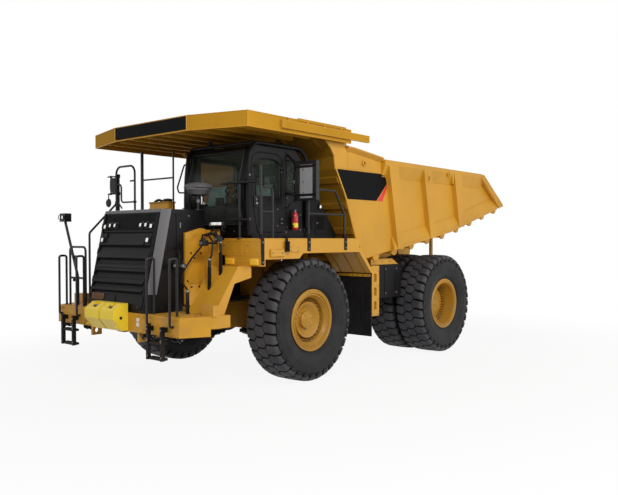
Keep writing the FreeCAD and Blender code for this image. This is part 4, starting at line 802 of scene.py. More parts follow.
def collar(shape, place, axis, radius, width=0.05, finish=None, lugs=True):
    """Split clamp round a bar, with its two bolts."""
    axis = Vector(axis).normalized()
    place = Vector(place)
    half = width / 2
    shape.disc(place - axis * half, axis, [(0, radius), (0.1 * width, radius + 0.009),
        (0.9 * width, radius + 0.009), (width, radius)], 18, finish)
    if lugs:
        side, out = across(axis)
        for end in (-1, 1):
            middle = place + side * end * (radius + 0.014)
            shape.rod(middle - out * 0.014, middle + out * 0.014, 0.009, 6, plated)


def foot_plate(shape, place, axis, radius, finish=None):
    """Round weld flange under a post with four bolts."""
    axis = Vector(axis).normalized()
    shape.disc(place, axis, [(0, radius * 2.3), (0.01, radius * 2.3), (0.012, radius * 1.3),
        (0.022, radius * 1.08)], 20, finish)
    for place in ring_places(place, axis, radius * 1.85, 4, 0.01, math.pi / 4):
        shape.bolt(place, axis, 0.008)


# ---------- nose
NOSE_LEAN = 0.22
nose_out = vec(1, 0, NOSE_LEAN).normalized()
nose_up = vec(-NOSE_LEAN, 0, 1).normalized()
nose_half = 0.745
nose_top = high("grille_shell").z
nose_foot = low("grille_shell").z
hood_side = 0.87
mesh_foot = 2.53


def on_nose(y, z, out=0):
    """Point on the leaning front panel, stood off it by out."""
    return at(2.284 - NOSE_LEAN * (z - deck_z - 0.19) + out, y, z)


def strip_point(share, z, out=0):
    """Point on the chamfer strip: share 0 at the panel's edge, 1 at the cheek."""
    base = on_nose(0, z)
    return vec(base.x - 0.11 * share + 0.75 * out, nose_half + 0.125 * share + 0.66 * out, z)


def louvre(shape, top, foot, reach, ridges):
    """One wide blade: it leans out to a rolled lip that shades the gap below."""
    tall = top - foot
    profile = [(-0.02, top), (0.008, top), (0.014, top - 0.03)]
    for i in range(ridges):
        z = top - tall * (i + 0.75) / (ridges + 0.6)
        out = 0.014 + 0.034 * (top - z) / tall
        profile += [(out, z + 0.016), (out + 0.007, z + 0.01), (out + 0.007, z - 0.004),
            (out + 0.001, z - 0.01)]
    profile += [(0.05, foot + 0.022), (0.054, foot + 0.008), (0.046, foot), (-0.02, foot + 0.006)]
    rings = [[on_nose(y, z, out) for out, z in profile] for y in (-reach, -0.004, 0.004, reach)]
    shape.loft(rings, black)


def nose():
    """Louvres, mesh, lamps, trims and lower skirt of the leaning front."""
    s = Shape(black)
    edge = 0.69
    # back sheet of painted shade behind the louvres and the mesh
    s.loft([[on_nose(y, z, out) for z, out in ((1.55, 0.002), (nose_top - 0.06, 0.002),
        (nose_top - 0.06, 0.005), (1.55, 0.005))] for y in (-edge, edge)], painted_shade_rubber)
    gaps = [2.511, 2.285, 2.078, 1.873, 1.687, 1.564]
    for i, (above, below) in enumerate(zip(gaps, gaps[1:])):
        louvre(s, above - 0.02, below + 0.02, 0.52 if i == 0 else edge - 0.01, (0, 0, 2, 1, 0)[i])
    for end in (-1, 1):
        # end plates of the first blade, with the low lamps
        pad(s, on_nose(end * 0.605, 2.393, 0.004), nose_out, 0.078, 0.098, 0.036, 0.012, up=nose_up)
        square_lamp(s, on_nose(end * 0.612, 2.385, 0.036), nose_out, 0.042, nose_up)
        for y in (0.625, 0.485, 0.351):
            z = 2.602 if y == 0.625 else 2.622
            pad(s, on_nose(end * y, z, 0.008), nose_out, 0.052, 0.056, 0.016, 0.012, finish=plastic,
                up=nose_up)
            square_lamp(s, on_nose(end * y, z, 0.02), nose_out, 0.04 if y == 0.625 else 0.035, nose_up)
    # expanded metal band and its frame
    lattice(s, on_nose(-edge, mesh_foot, 0.006), ACROSS, nose_up, 2 * edge,
        (nose_top - 0.07 - mesh_foot) / nose_up.z, 0.021, math.radians(58), 0.0065, 0.007)
    for z in (mesh_foot - 0.012, nose_top - 0.068):
        s.loft([[on_nose(y, z + rise, out) for rise, out in ((0, 0), (0.022, 0), (0.022, 0.018),
            (0, 0.018))] for y in (-edge, edge)])
    for end in (-1, 1):
        # side frames between the blades and the chamfer
        bar = [on_nose(end * y, nose_foot + 0.27, out) for y, out in ((0.688, 0), (0.742, 0), (0.742, 0.024),
            (0.688, 0.034))]
        rise = on_nose(0, nose_top - 0.045) - on_nose(0, nose_foot + 0.27)
        if end < 0:
            bar.reverse()
        s.loft([bar, [p + rise for p in bar]])
        for i in range(11):
            z = 1.62 + i * 0.115
            s.bolt(on_nose(end * 0.716, z, 0.03), nose_out, 0.009, black)
        # hinges of the opening grille
        for z in (1.75, 2.2, 2.62):
            s.rod(on_nose(end * 0.738, z - 0.045, 0.02), on_nose(end * 0.738, z + 0.045, 0.02), 0.013)
    s.piece("grille_louvres", "black_paint", 0.003)

    # chamfer strips, folded top edge and their bolts in light grey: painted reflection on black sheet
    s = Shape(grey)
    for end in (1, -1):
        def strip(share, z, out):
            p = strip_point(share, z, out)
            return vec(p.x, p.y * end, p.z)
        levels = [1.555, 1.6, nose_top - 0.05, nose_top + 0.001]
        rings = [[strip(a, z, b) for a, b in ((0.02, 0), (0.02, 0.01), (0.1, 0.014), (0.9, 0.014),
            (0.98, 0.01), (0.98, 0))] for z in levels]
        s.loft(rings)
    # folded top edge
    fold = ((-0.048, 0), (-0.048, 0.012), (-0.004, 0.014), (0.004, 0.004), (0.006, -0.05), (0, -0.05))
    s.loft([[on_nose(y, nose_top + rise, out) for rise, out in fold] for y in (-nose_half, -0.01, 0.01,
        nose_half)])
    for y in (-0.6, -0.2, 0.2, 0.6):
        s.bolt(on_nose(y, nose_top - 0.026, 0.013), nose_out, 0.008, grey)
    s.piece("nose_trim", "black_paint", 0.0025)

    s = Shape(plated)
    # lower skirt: two hatches, their latches and the brown heat shield
    for y0, y1 in ((-0.7, -0.03), (0.03, 0.7)):
        middle_y = (y0 + y1) / 2
        pad(s, on_nose(middle_y, 1.415, 0.001), nose_out, (y1 - y0) / 2, 0.105, 0.01, 0.03, finish=black,
            up=nose_up)
        for y in (y0 + 0.09, y1 - 0.09):
            s.disc(on_nose(y, 1.36, 0.01), nose_out, [(0, 0.022), (0.006, 0.022), (0.009, 0.016)], 16,
                plastic)
            s.box(on_nose(y, 1.36, 0.012) - vec(0.004, 0.012, 0.003), on_nose(y, 1.36, 0.024) + vec(0.004,
                0.012, 0.003))
    rust = enamel("heat_shield", colour(98, 62, 38), 0.5, 0.1, 0, 0.3)
    pad(s, on_nose(-0.5, 1.475, 0.014), nose_out, 0.165, 0.052, 0.012, 0.012, finish=rust, up=nose_up)
    for i in range(6):
        y = -0.62 + i * 0.048
        pad(s, on_nose(y, 1.475, 0.024), nose_out, 0.013, 0.036, 0.008, 0.008, finish=rust, up=nose_up)
    bolt_row(s, on_nose(-0.655, 1.515, 0.026), on_nose(-0.345, 1.515, 0.026), 3, nose_out, 0.008)
    s.piece("nose_skirt", "black_paint", 0.002)


def cheeks():
    """Sides of the nose: seam ribs, an access door with its latches, and the test valves."""
    s = Shape(black)
    y = hood_side
    s.box(at(2.008, y, 1.36), at(2.032, y + 0.008, 2.8))
    pad(s, at(1.965, y, 2.62), ACROSS, 0.045, 0.17, 0.008)
    pad(s, at(2.085, y, 1.6), ACROSS, 0.05, 0.22, 0.008)
    for z in (1.45, 1.75, 2.1, 2.45, 2.78):
        s.bolts((2.052, 1.925), y, z, ACROSS, 0.01, black)
    s.box(at(1.955, y, 2.58), at(1.975, y + 0.022, 2.66), plated)
    s.mirror()
    # valve pair on a bracket, left cheek
    s.box(at(2.12, y - 0.01, 1.955), at(2.145, y + 0.35, 2.03))
    s.rod(*span(2.165, (0.99, 1.235), 1.992), 0.02, finish=plastic)
    for end in (0.985, 1.175):
        s.disc(at(2.165, end, 1.992), ACROSS, [(0, 0.022), (0.008, 0.029), (0.052, 0.029), (0.06, 0.022)],
            18, plated)
    for place in ((2.15, 1.04, 2.075), (2.15, 1.1, 2.12), (2.15, 1.18, 2.07)):
        s.rod(at(2.15, place[1], 2), at(*place), 0.009, 8, plastic)
        s.bolt(at(*place), UP, 0.014, plastic)
    s.pipe([at(2.15, 1.1, 2.12), at(2.14, 1.08, 2.2), at(2.08, 0.96, 2.26), at(2.06, hood_side - 0.01,
        2.26)], 0.009, finish=hose)
    s.piece("cheek_fittings", "black_paint", 0.002)


def bumper_details():
    """Reflectors, bolts, treads and hooks of the bumper."""
    s = Shape(yellow)
    face = high("front_bumper").x
    foot = axle_z - 0.057
    top = axle_z + 0.236
    for end in (LEFT, RIGHT):
        # stacked reflectors, bolts, the strip along the top edge and the weld along the foot
        for z in (1.098, 1.172):
            pad(s, (face, end * 0.655, z), AHEAD, 0.036, 0.03, 0.008, 0.008, finish=sticker_white)
        for y, z in product((0.8, 1.52), (1.03, 1.22)):
            s.bolt((face, end * y, z), AHEAD, 0.015, yellow)
        s.box((face - 0.004, end * 0.6, top - 0.035), (face + 0.008, end * 1.62, top - 0.003))
        bead(s, [(face, end * 0.6, foot + 0.02), (face, end * 1.63, foot + 0.02)], 0.006)
    s.piece("bumper_fittings", edge=0.003)

    # tread plates on the bumper's top
    s = Shape(walkway)
    for y0, y1 in ((0.93, 1.6), (-1.6, -0.93)):
        s.box((face - 0.4, y0, top + 0.001), (face - 0.05, y1, top + 0.007))
        for x in (face - 0.37, face - 0.08):
            bolt_row(s, (x, y0 + 0.04, top + 0.007), (x, y1 - 0.04, top + 0.007), 3, UP, 0.009)
    s.piece("bumper_treads", edge=0.001)

    # hook plates and their pins under the beam
    s = Shape(plated)
    for end in (LEFT, RIGHT):
        for y in (0.76, 0.88, 1.44, 1.56):
            s.prism([(face - x, end * y - 0.012, foot + z) for x, z in ((0.16, 0.01), (0.16, -0.05),
                (0.09, -0.085), (0.02, -0.05), (0.02, 0.01))], (0, 0.024, 0), black)
        for y0, y1 in ((0.74, 0.9), (1.42, 1.58)):
            s.pipe([(face - 0.1, end * y, foot - 0.045) for y in (y0, y1)], 0.013)
    s.piece("bumper_hooks", "black_paint", 0.002)


def tow_block_details():
    """Tow pins in the block's slots, and the rivets and bolts on its sides."""
    s = Shape(raw_steel)
    block_lo, block_hi = low("tow_block"), high("tow_block")
    slot_top = block_hi.z - 0.005
    for end in (LEFT, RIGHT):
        s.rod((block_hi.x - 0.105, end * 0.125, slot_top - 0.055), (block_hi.x - 0.105, end * 0.295,
            slot_top - 0.055), 0.018)
        s.disc((block_hi.x - 0.13, end * block_hi.y, block_lo.z + 0.2), (0, end, 0),
            [(-0.004, 0.024), (0.004, 0.024), (0.006, 0.018)], 16, plastic)
        for x, z in ((-0.2, 0.07), (-0.06, 0.07), (-0.2, 0.33)):
            s.bolt((block_hi.x + x, end * (block_hi.y - 0.001), block_lo.z + z), (0, end, 0), 0.013,
                enamel_guard)
    s.piece("tow_block_pins", "guard_paint", 0.002)


def front_steps():
    """Grip treads and bolts of the hanging steps."""
    s = Shape(black)
    lo, hi = low("hanging_steps"), high("hanging_steps")
    y0, y1 = axis_span("hanging_steps")
    for side in (1, -1):
        for z in (lo.z + 0.04, lo.z + 0.27):
            for k in range(9):
                y = side * (y0 + 0.05 + k * (y1 - y0 - 0.1) / 8)
                s.prism([(hi.x - x, y - 0.006, z + rise) for x, rise in ((0.115, 0), (0.015, 0),
                    (0.035, 0.01), (0.065, 0.004), (0.095, 0.01))], (0, 0.012, 0))
        for y, z in product((y0 + 0.022, y1 - 0.022), (lo.z + 0.05, lo.z + 0.28, hi.z - 0.2, hi.z - 0.05)):
            s.bolt((hi.x, side * y, z), AHEAD, 0.01)
    s.piece("step_treads", "black_paint", 0.001)


def axis_span(node):
    """Innermost and outermost reach across the truck of a node that stands on both sides."""
    ys = sorted(abs(v.co.y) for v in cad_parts[node].data.vertices)
    return ys[0], ys[-1]


def front_left():
    """Lamp box, side panels and the inclined beam beside the nose."""
    s = Shape(yellow)
    box_face = front_x + 1.3
    y0 = 1.19
    for end in (LEFT, RIGHT):
        # amber lamps at both ends of the lamp box
        for y, wide in ((y0 + 0.125, 0.1), (half_width - 0.135, 0.095)):
            pad(s, (box_face, end * y, 2.048), AHEAD, wide + 0.012, 0.062, 0.01, 0.012)
            pad(s, (box_face + 0.008, end * y, 2.048), AHEAD, wide, 0.05, 0.014, 0.012, 0.004, amber_lens)
        # joints of the box plates
        s.box((box_face - 0.003, end * y0, 2.142), (box_face + 0.006, end * half_width, 2.158))
        for y in (1.5, 1.6, 1.7):
            s.bolt((box_face, end * y, 2.048), AHEAD, 0.011, yellow)
        # deck front plate above the box
        deck_face = front_x + 1.28
        for y, z in ((1.36, 2.33), (1.66, 2.33), (1.9, 2.33), (1.36, 2.21), (1.66, 2.21), (1.9, 2.21)):
            s.bolt((deck_face, end * y, z), AHEAD, 0.011, yellow)
        s.box((deck_face - 0.002, end * 1.24, deck_z - 0.046), (deck_face + 0.007, end * 1.98,
            deck_z - 0.03))
        for y in (1.545, 1.785):
            s.box((deck_face, end * y - 0.006, 2.16), (deck_face + 0.006, end * y + 0.006, deck_z - 0.045))
    s.piece("lamp_box_fittings", edge=0.002)

    s = Shape(yellow)
    face = hood_side + 0.0403
    # panel beside the hood: folded edge, bolts and the two slots
    for x, z in ((1.86, 2.4), (1.86, 2.2), (1.7, 2.47), (1.56, 2.5), (1.77, 2.18), (1.565, 2.175),
            (1.7, 2.1)):
        s.bolt(at(x, face, z), ACROSS, 0.012, black if z < 2.19 else yellow)
    s.box(at(1.47, face, 2.055), at(1.875, face + 0.012, 2.075))
    pad(s, at(1.69, face, 1.86), ACROSS, 0.15, 0.16, 0.012, 0.05, 0.006)
    for x, z in ((1.6, 1.64), (1.76, 1.64), (1.84, 1.74)):
        s.bolt(at(x, face, z), ACROSS, 0.012, plastic)
    bead(s, span(1.5, face + 0.001, (1.53, 2.05)), 0.006)
    # web that faces forward
    web = front_x + 1.5
    for y, z in ((0.96, 2.49), (1.1, 2.49), (1.2, 2.4), (0.97, 2.2), (1.12, 2.2), (1.2, 2.05)):
        s.bolt((web, y, z), AHEAD, 0.011, yellow)
    s.box((web, 1.035, 1.7), (web + 0.008, 1.047, 2.53))
    s.mirror()
    # left: lamp bar on the web's head and the dark valve blocks beside the hoses
    for y in (1.12, 1.33):
        s.box(at(1.49, y, 2.535), at(1.51, y + 0.025, 2.66), black)
    s.box(at(1.475, 1.08, 2.525), at(1.515, 1.38, 2.545), black)
    pad(s, at(1.5, 1.235, 2.645), AHEAD, 0.16, 0.034, 0.03, 0.014, finish=plastic)
    for y in (1.175, 1.3):
        pad(s, at(1.528, y, 2.645), AHEAD, 0.058, 0.023, 0.012, 0.01, 0.004, clear_lens)
    for place, size in (((1.775, 1.225, 2.34), 0.05), ((1.62, 1.385, 2.4), 0.045)):
        middle = at(*place)
        s.box(middle - vec(size, size, size * 0.9), middle + vec(size, size, size * 0.9), plastic)
        s.disc(middle + vec(0, 0, size * 0.9), UP, [(0, size * 0.6), (0.03, size * 0.55),
            (0.036, size * 0.3)], 14, plastic)
        s.disc(middle + vec(size, 0, 0), AHEAD, [(0, size * 0.5), (0.02, size * 0.45)], 12, plated)
        s.rod((web, middle.y, middle.z), middle, 0.016, finish=black)
    s.piece("web_fittings", edge=0.002)

    # couplings along the hoses and the sleeves at their brackets
    s = Shape(plastic)
    for x, y, z in ((1.62, 1.44, 2.335), (1.78, 1.36, 2.07), (2.19, 1.33, 1.6)):
        s.rod(*span(x, y, (z - 0.11, z + 0.02)), 0.024, 14)
        s.disc(at(x, y, z), UP, [(0, 0.026), (0.01, 0.031), (0.022, 0.031), (0.03, 0.024)], 6, plated)
    for y, z in ((1.2, deck_z + 0.08), (1.09, deck_z + 0.08), (0.98, deck_z + 0.06)):
        s.disc(at(1.5, y, z), AHEAD, [(0, 0.03), (0.012, 0.03), (0.016, 0.022), (0.045, 0.022),
            (0.052, 0.016)], 16)
    s.piece("hose_couplings", "hose_rubber", 0.001)

    # weld beads of the inclined beam
    s = Shape(yellow)
    y_in, y_out = 1.15, 1.75
    for y in (y_in + 0.001, y_out - 0.001):
        bead(s, span((1.54, 2.045), y, (1.977, 1.272)))
    bead(s, span(2.05, (y_in, y_out), 1.272), 0.008)
    bead(s, span(1.54, (y_in, y_out), 1.984), 0.006)
    s.mirror()
    s.piece("beam_welds")


# ---------- cab
cab_left = high("cab_shell").y
cab_right = low("cab_shell").y
cab_floor = low("seat").z
driver_y = middle("seat").y
roof_z = 3.93


def cab_face(z):
    """X of the cab's front wall at a height: it leans out to a rounded knee and back to the roof."""
    if z < 2.984:
        return 1.05 + 0.297 * (z - 2.45)
    if z > 3.296:
        return 1.06 + 0.247 * (3.93 - z)
    return 0.633 + math.sqrt(0.36 - (z - 3.154) ** 2)


def face_path(y, z0, z1):
    """Twelve steps up or down the front wall, just off it."""
    heights = [z0 + (z1 - z0) * i / 12 for i in range(13)]
    return [at(cab_face(z) + 0.006, y, z) for z in heights]


def gasket(shape, path, radius, finish=None, closed=True):
    """Round rubber bead along a path of many points."""
    points = [Vector(p) for p in path]
    count = len(points)
    rings = []
    for i, p in enumerate(points):
        before = points[i - 1] if closed or i else p
        after = points[(i + 1) % count] if closed or i < count - 1 else p
        rings.append(circle(p, *across(after - before), radius, 6))
    shape.loft(rings, finish, loop=closed)


def cab_outside():
    """Guard frame, window rubbers, wipers, lamp bar, roof ribs and rubber mounts."""
    s = Shape(black)
    arch_y = cab_left + 0.034
    s.pipe(upright(arch_y, [(1.15, 2.46), (1.185, 2.95), (1.17, 3.45), (1.125, 3.8), (1.02, 3.955),
        (-0.06, 3.955), (-0.225, 3.82), (-0.235, 3.5), (-0.235, 2.6)]), 0.036, 14)
    s.pipe(upright(cab_right - 0.034, [(1.15, 2.46), (1.185, 2.95), (1.17, 3.45), (1.125, 3.8),
        (1.02, 3.955), (-0.17, 3.955)]), 0.036, 14)
    s.pipe(span(1.03, (cab_right - 0.03, arch_y), 3.955), 0.03, 12)
    for x, z in ((1.172, 2.72), (1.172, 3.42), (-0.235, 3.4), (-0.235, 2.8)):
        s.box(at(x - 0.03, cab_left - 0.004, z - 0.05), at(x + 0.03, arch_y, z + 0.05))
        s.bolt(at(x, arch_y + 0.036, z), ACROSS, 0.012)
    # windscreen rubber and the wipers
    y0, y1, z0, z1 = 0.2, 1.43, 2.64, 3.83
    gasket(s, face_path(y0, z0, z1) + face_path(y1, z1, z0), 0.013, trim_plastic)
    for y, lean in ((0.42, 0.2), (0.98, 0.22)):
        foot = at(cab_face(2.6) + 0.03, y, 2.6)
        s.disc(foot - vec(0.04, 0, 0), AHEAD, [(0, 0.03), (0.03, 0.03), (0.05, 0.018)], 14, plastic)
        tip = at(cab_face(3.12) + 0.035, y + lean, 3.12)
        s.rod(foot, tip, 0.008, 6, plastic)
        blade = [at(cab_face(z) + 0.016, y + lean - 0.02, z) for z in (2.82, 2.97, 3.12, 3.27, 3.4)]
        s.pipe(blade, 0.008, 6, plastic)
    # front foot panel, and the lamp bar on two legs
    s.box(at(1.06, cab_right + 0.02, 2.46), at(1.105, cab_left - 0.02, 2.6))
    s.bolts(1.105, (0.3, 0.75, 1.2), 2.53, AHEAD, 0.01)
    lamp = at(1.27, 0.955, 2.645)
    s.box(lamp - vec(0.03, 0.15, 0.036), lamp + vec(0.02, 0.15, 0.036), plastic)
    for y in (-0.1, 0, 0.1):
        pad(s, lamp + vec(0.02, y, 0), AHEAD, 0.044, 0.028, 0.012, 0.01, 0.006, clear_lens)
    for y in (-0.12, 0.12):
        s.rod((lamp.x - 0.01, lamp.y + y, deck_z), lamp + vec(-0.01, y, -0.03), 0.01, 8)
    # roof: drip rail, ribs and the capped post
    for y in (cab_left - 0.02, cab_right + 0.02):
        s.box(at(-0.12, y - 0.012, 3.9), at(0.98, y + 0.012, 3.945))
    for x in (0, 0.2, 0.4, 0.6, 0.8):
        s.box(at(x, cab_right + 0.1, roof_z - 0.002), at(x + 0.05, cab_left - 0.1, roof_z + 0.012))
    s.disc(at(0.95, 0.45, roof_z), UP, [(0, 0.075), (0.012, 0.075), (0.016, 0.05), (0.05, 0.043)], 20)
    # side: quarter window rubber, bolts, sill strip and cover plate
    quarter = upright(cab_left + 0.002, ((-0.05, 3.21), (0.24, 3.21), (0.24, 3.74), (-0.05, 3.74)))
    gasket(s, quarter, 0.012, trim_plastic)
    for i in range(6):
        s.bolt(at(-0.12, cab_left, 2.56 + 0.26 * i), ACROSS, 0.009)
        s.bolt(at(0.24 - 0.04 * (i % 2), cab_left, 2.52 + 0.11 * i), ACROSS, 0.008)
    s.box(at(-0.15, cab_left, 2.475), at(1.02, cab_left + 0.008, 2.505))
    bead(s, span((-0.14, 0.3), cab_left + 0.004, 2.5), 0.005, 0.03)
    pad(s, at(0.1, cab_left, 2.85), ACROSS, 0.15, 0.28, 0.01, 0.03)
    s.bolts((-0.03, 0.23), cab_left + 0.01, (2.6, 3.1), ACROSS, 0.007)
    # right and rear walls
    side = upright(cab_right - 0.002, ((0.08, 3.01), (0.92, 3.01), (0.92, 3.74), (0.08, 3.74)))
    gasket(s, side, 0.012, trim_plastic)
    pad(s, at(0.45, cab_right, 2.74), (0, -1, 0), 0.42, 0.16, 0.01, 0.03)
    rear = facing(-0.182, ((0.29, 3.21), (1.38, 3.21), (1.38, 3.55), (0.29, 3.55)))
    gasket(s, rear, 0.012, trim_plastic)
    # rubber mounts under the floor
    for x, y in product((-0.1, 0.9), (0.2, 1.44)):
        s.disc(at(x, y, 2.41), UP, [(0, 0.06), (0.01, 0.07), (0.03, 0.07), (0.038, 0.055)], 18, hose)
    s.piece("cab_fittings", "black_paint")


def door_details():
    """Door rubbers, hook handle, latch, hinge bolts and kick panel."""
    s = Shape(black)
    y = cab_left
    window = [(0.42, 3.1), (0.97, 3.1), (0.97, 3.6), (0.93, 3.7), (0.84, 3.73), (0.55, 3.73), (0.46, 3.7),
        (0.42, 3.62)]
    gasket(s, upright(y + 0.001, window), 0.012, trim_plastic)
    edge = [(0.337, 2.523), (0.92, 2.523), (1.046, 2.99), (1.046, 3.66), (1, 3.77), (0.88, 3.806),
        (0.5, 3.806), (0.38, 3.76), (0.337, 3.64)]
    gasket(s, upright(y + 0.001, edge), 0.007, plastic)
    s.pipe([at(1, y - 0.005, 3.6), at(1, y + 0.055, 3.6), at(0.86, y + 0.055, 3.545), at(0.845, y + 0.055,
        3.42), at(0.845, y + 0.055, 3.26), at(0.845, y - 0.005, 3.22)], 0.014)
    for x, z in ((1, 3.6), (0.845, 3.22)):
        s.disc(at(x, y, z), ACROSS, [(0, 0.03), (0.008, 0.03), (0.012, 0.016)], 16)
    pad(s, at(0.98, y, 3.02), ACROSS, 0.045, 0.085, 0.022, 0.015, 0.004, plastic)
    s.rod(*span(0.98, (y + 0.022, y + 0.036), 3.04), 0.016, 16, plated)
    s.box(at(0.955, y + 0.026, 2.965), at(1, y + 0.04, 2.995), plated)
    pad(s, at(0.66, y, 2.76), ACROSS, 0.24, 0.17, 0.008, 0.04)
    pad(s, at(0.69, y, 3), ACROSS, 0.22, 0.045, 0.008)
    s.bolts((0.46, 0.86), y + 0.008, (2.62, 2.9), ACROSS, 0.008)
    for z, dz in product((2.646, 3.5), (0.02, 0.09)):
        for dx in (0.025, 0.05):
            s.bolt(at(0.33 + dx, y + 0.014, z + dz), ACROSS, 0.007)
    s.piece("door_fittings", "black_paint", body="cab_door")


def cushion(shape, name, cap, seams=()):
    """Padded piece: remeshed, blown up as cloth, its swelling capped, then seamed and smoothed."""
    thing = shape.piece(name, "seat_fabric")
    remesh = thing.modifiers.new("remesh", "REMESH")
    remesh.mode = "VOXEL"
    remesh.voxel_size = 0.006
    scene = bpy.context.scene

    def settle():
        scene.view_layers[0].update()
        made = bpy.data.meshes.new_from_object(thing.evaluated_get(bpy.context.evaluated_depsgraph_get()))
        thing.modifiers.clear()
        thing.data = made

    settle()
    plain = [v.co.copy() for v in thing.data.vertices]
    cloth = thing.modifiers.new("cloth", "CLOTH")
    cloth.settings.use_pressure = True
    cloth.settings.uniform_pressure_force = 4
    cloth.settings.effector_weights.gravity = 0
    for step in range(1, 21):
        scene.frame_set(step)
    settle()
    scene.frame_set(1)
    for vertex, start in zip(thing.data.vertices, plain):
        move = vertex.co - start
        if move.length > cap:
            move *= cap / move.length
        vertex.co = start + move
    normals = [v.normal.copy() for v in thing.data.vertices]
    for vertex, normal in zip(thing.data.vertices, normals):
        dip = 0
        for axis, place in seams:
            off = abs(vertex.co[axis] - place) / 0.012
            if off < 1:
                dip = max(dip, 0.009 * (1 - off) ** 2)
        vertex.co -= normal * dip
    thing.data.polygons.foreach_set("use_smooth", [True] * len(thing.data.polygons))
    smooth = thing.modifiers.new("smooth", "SMOOTH")
    smooth.factor = 0.5
    smooth.iterations = 3
    return thing


def slab(lo, hi, lean=0, crown=0.06, finish=None):
    """Cushion blank: a rounded slab in upright layers; lean pushes its top back."""
    s = Shape()
    lo, hi = Vector(lo), Vector(hi)
    middle_xy = (lo + hi) / 2
    rings = []
    levels = 7
    for i in range(levels):
        t = i / (levels - 1)
        z = lo.z + (hi.z - lo.z) * t
        pinch = 1 - crown * (2 * t - 1) ** 4
        ring = rounded_square(vec(middle_xy.x - lean * t, middle_xy.y, z), AHEAD, ACROSS,
            (hi.x - lo.x) / 2 * pinch, (hi.y - lo.y) / 2 * pinch, 0.35 * min(hi.x - lo.x, hi.y - lo.y), 5)
        rings.append(ring)
    s.loft(rings, finish or seat_cloth)
    return s


def seats():
    """Operator's sprung seat and the small trainer's seat beside it."""
    base = Shape(plastic)
    x, y, z = 0.33, driver_y, cab_floor
    base.box(at(x - 0.15, y - 0.17, z), at(x + 0.17, y + 0.17, z + 0.05))
    for i in range(6):
        half = 0.135 + 0.018 * (i % 2)
        ring0 = rounded_square(at(x, y, z + 0.05 + 0.04 * i), AHEAD, ACROSS, half, half, 0.04)
        ring1 = rounded_square(at(x, y, z + 0.09 + 0.04 * i), AHEAD, ACROSS, 0.271 - half, 0.271 - half,
            0.04)
        base.loft([ring0, ring1], hose)
    base.box(at(x - 0.2, y - 0.2, z + 0.29), at(x + 0.2, y + 0.2, z + 0.33))
    for side in (-1, 1):
        edge = y + side * 0.262
        base.pipe(upright(edge, [(x - 0.22, z + 0.42), (x - 0.2, z + 0.58), (x + 0.12, z + 0.6)]), 0.022)
        base.box(at(x - 0.12, edge - 0.03, z + 0.6), at(x + 0.16, edge + 0.03, z + 0.635))
    base.box(at(x - 0.262, y - 0.245, z + 0.86), at(x - 0.12, y - 0.225, z + 0.48))
    base.pipe([at(x - 0.25, y - 0.2, z + 0.98), at(x - 0.12, y - 0.1, z + 0.72), at(x + 0.05, y + 0.22,
        z + 0.49)], 0.006, 6)
    tx, ty = 0.78, 0.42
    base.box(at(tx - 0.06, ty - 0.05, z), at(tx + 0.02, ty + 0.05, z + 0.3))
    base.rod(*span(tx - 0.03, (ty - 0.17, ty + 0.17), z + 0.42), 0.02)
    base.piece("seat_base", "trim_plastic", 0.004)
    seat = cushion(slab(at(x - 0.215, y - 0.235, z + 0.335), at(x + 0.255, y + 0.235, z + 0.43)),
        "seat_cushion", 0.02, ((1, y - 0.14), (1, y + 0.14), (0, front_x + x + 0.12)))
    cushion(slab(at(x - 0.225, y - 0.22, z + 0.45), at(x - 0.13, y + 0.22, z + 0.86), 0.05), "seat_back",
        0.02, ((1, y - 0.13), (1, y + 0.13), (2, z + 0.6), (2, z + 0.74)))
    cushion(slab(at(x - 0.275, y - 0.13, z + 0.87), at(x - 0.205, y + 0.13, z + 0.985), 0.01), "head_rest",
        0.012)
    cushion(slab(at(tx - 0.055, ty - 0.235, z + 0.43), at(tx + 0.035, ty + 0.235, z + 0.8), 0.03),
        "trainer_back", 0.016, ((1, ty - 0.11), (1, ty + 0.11)))
    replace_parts(seat, "seat")


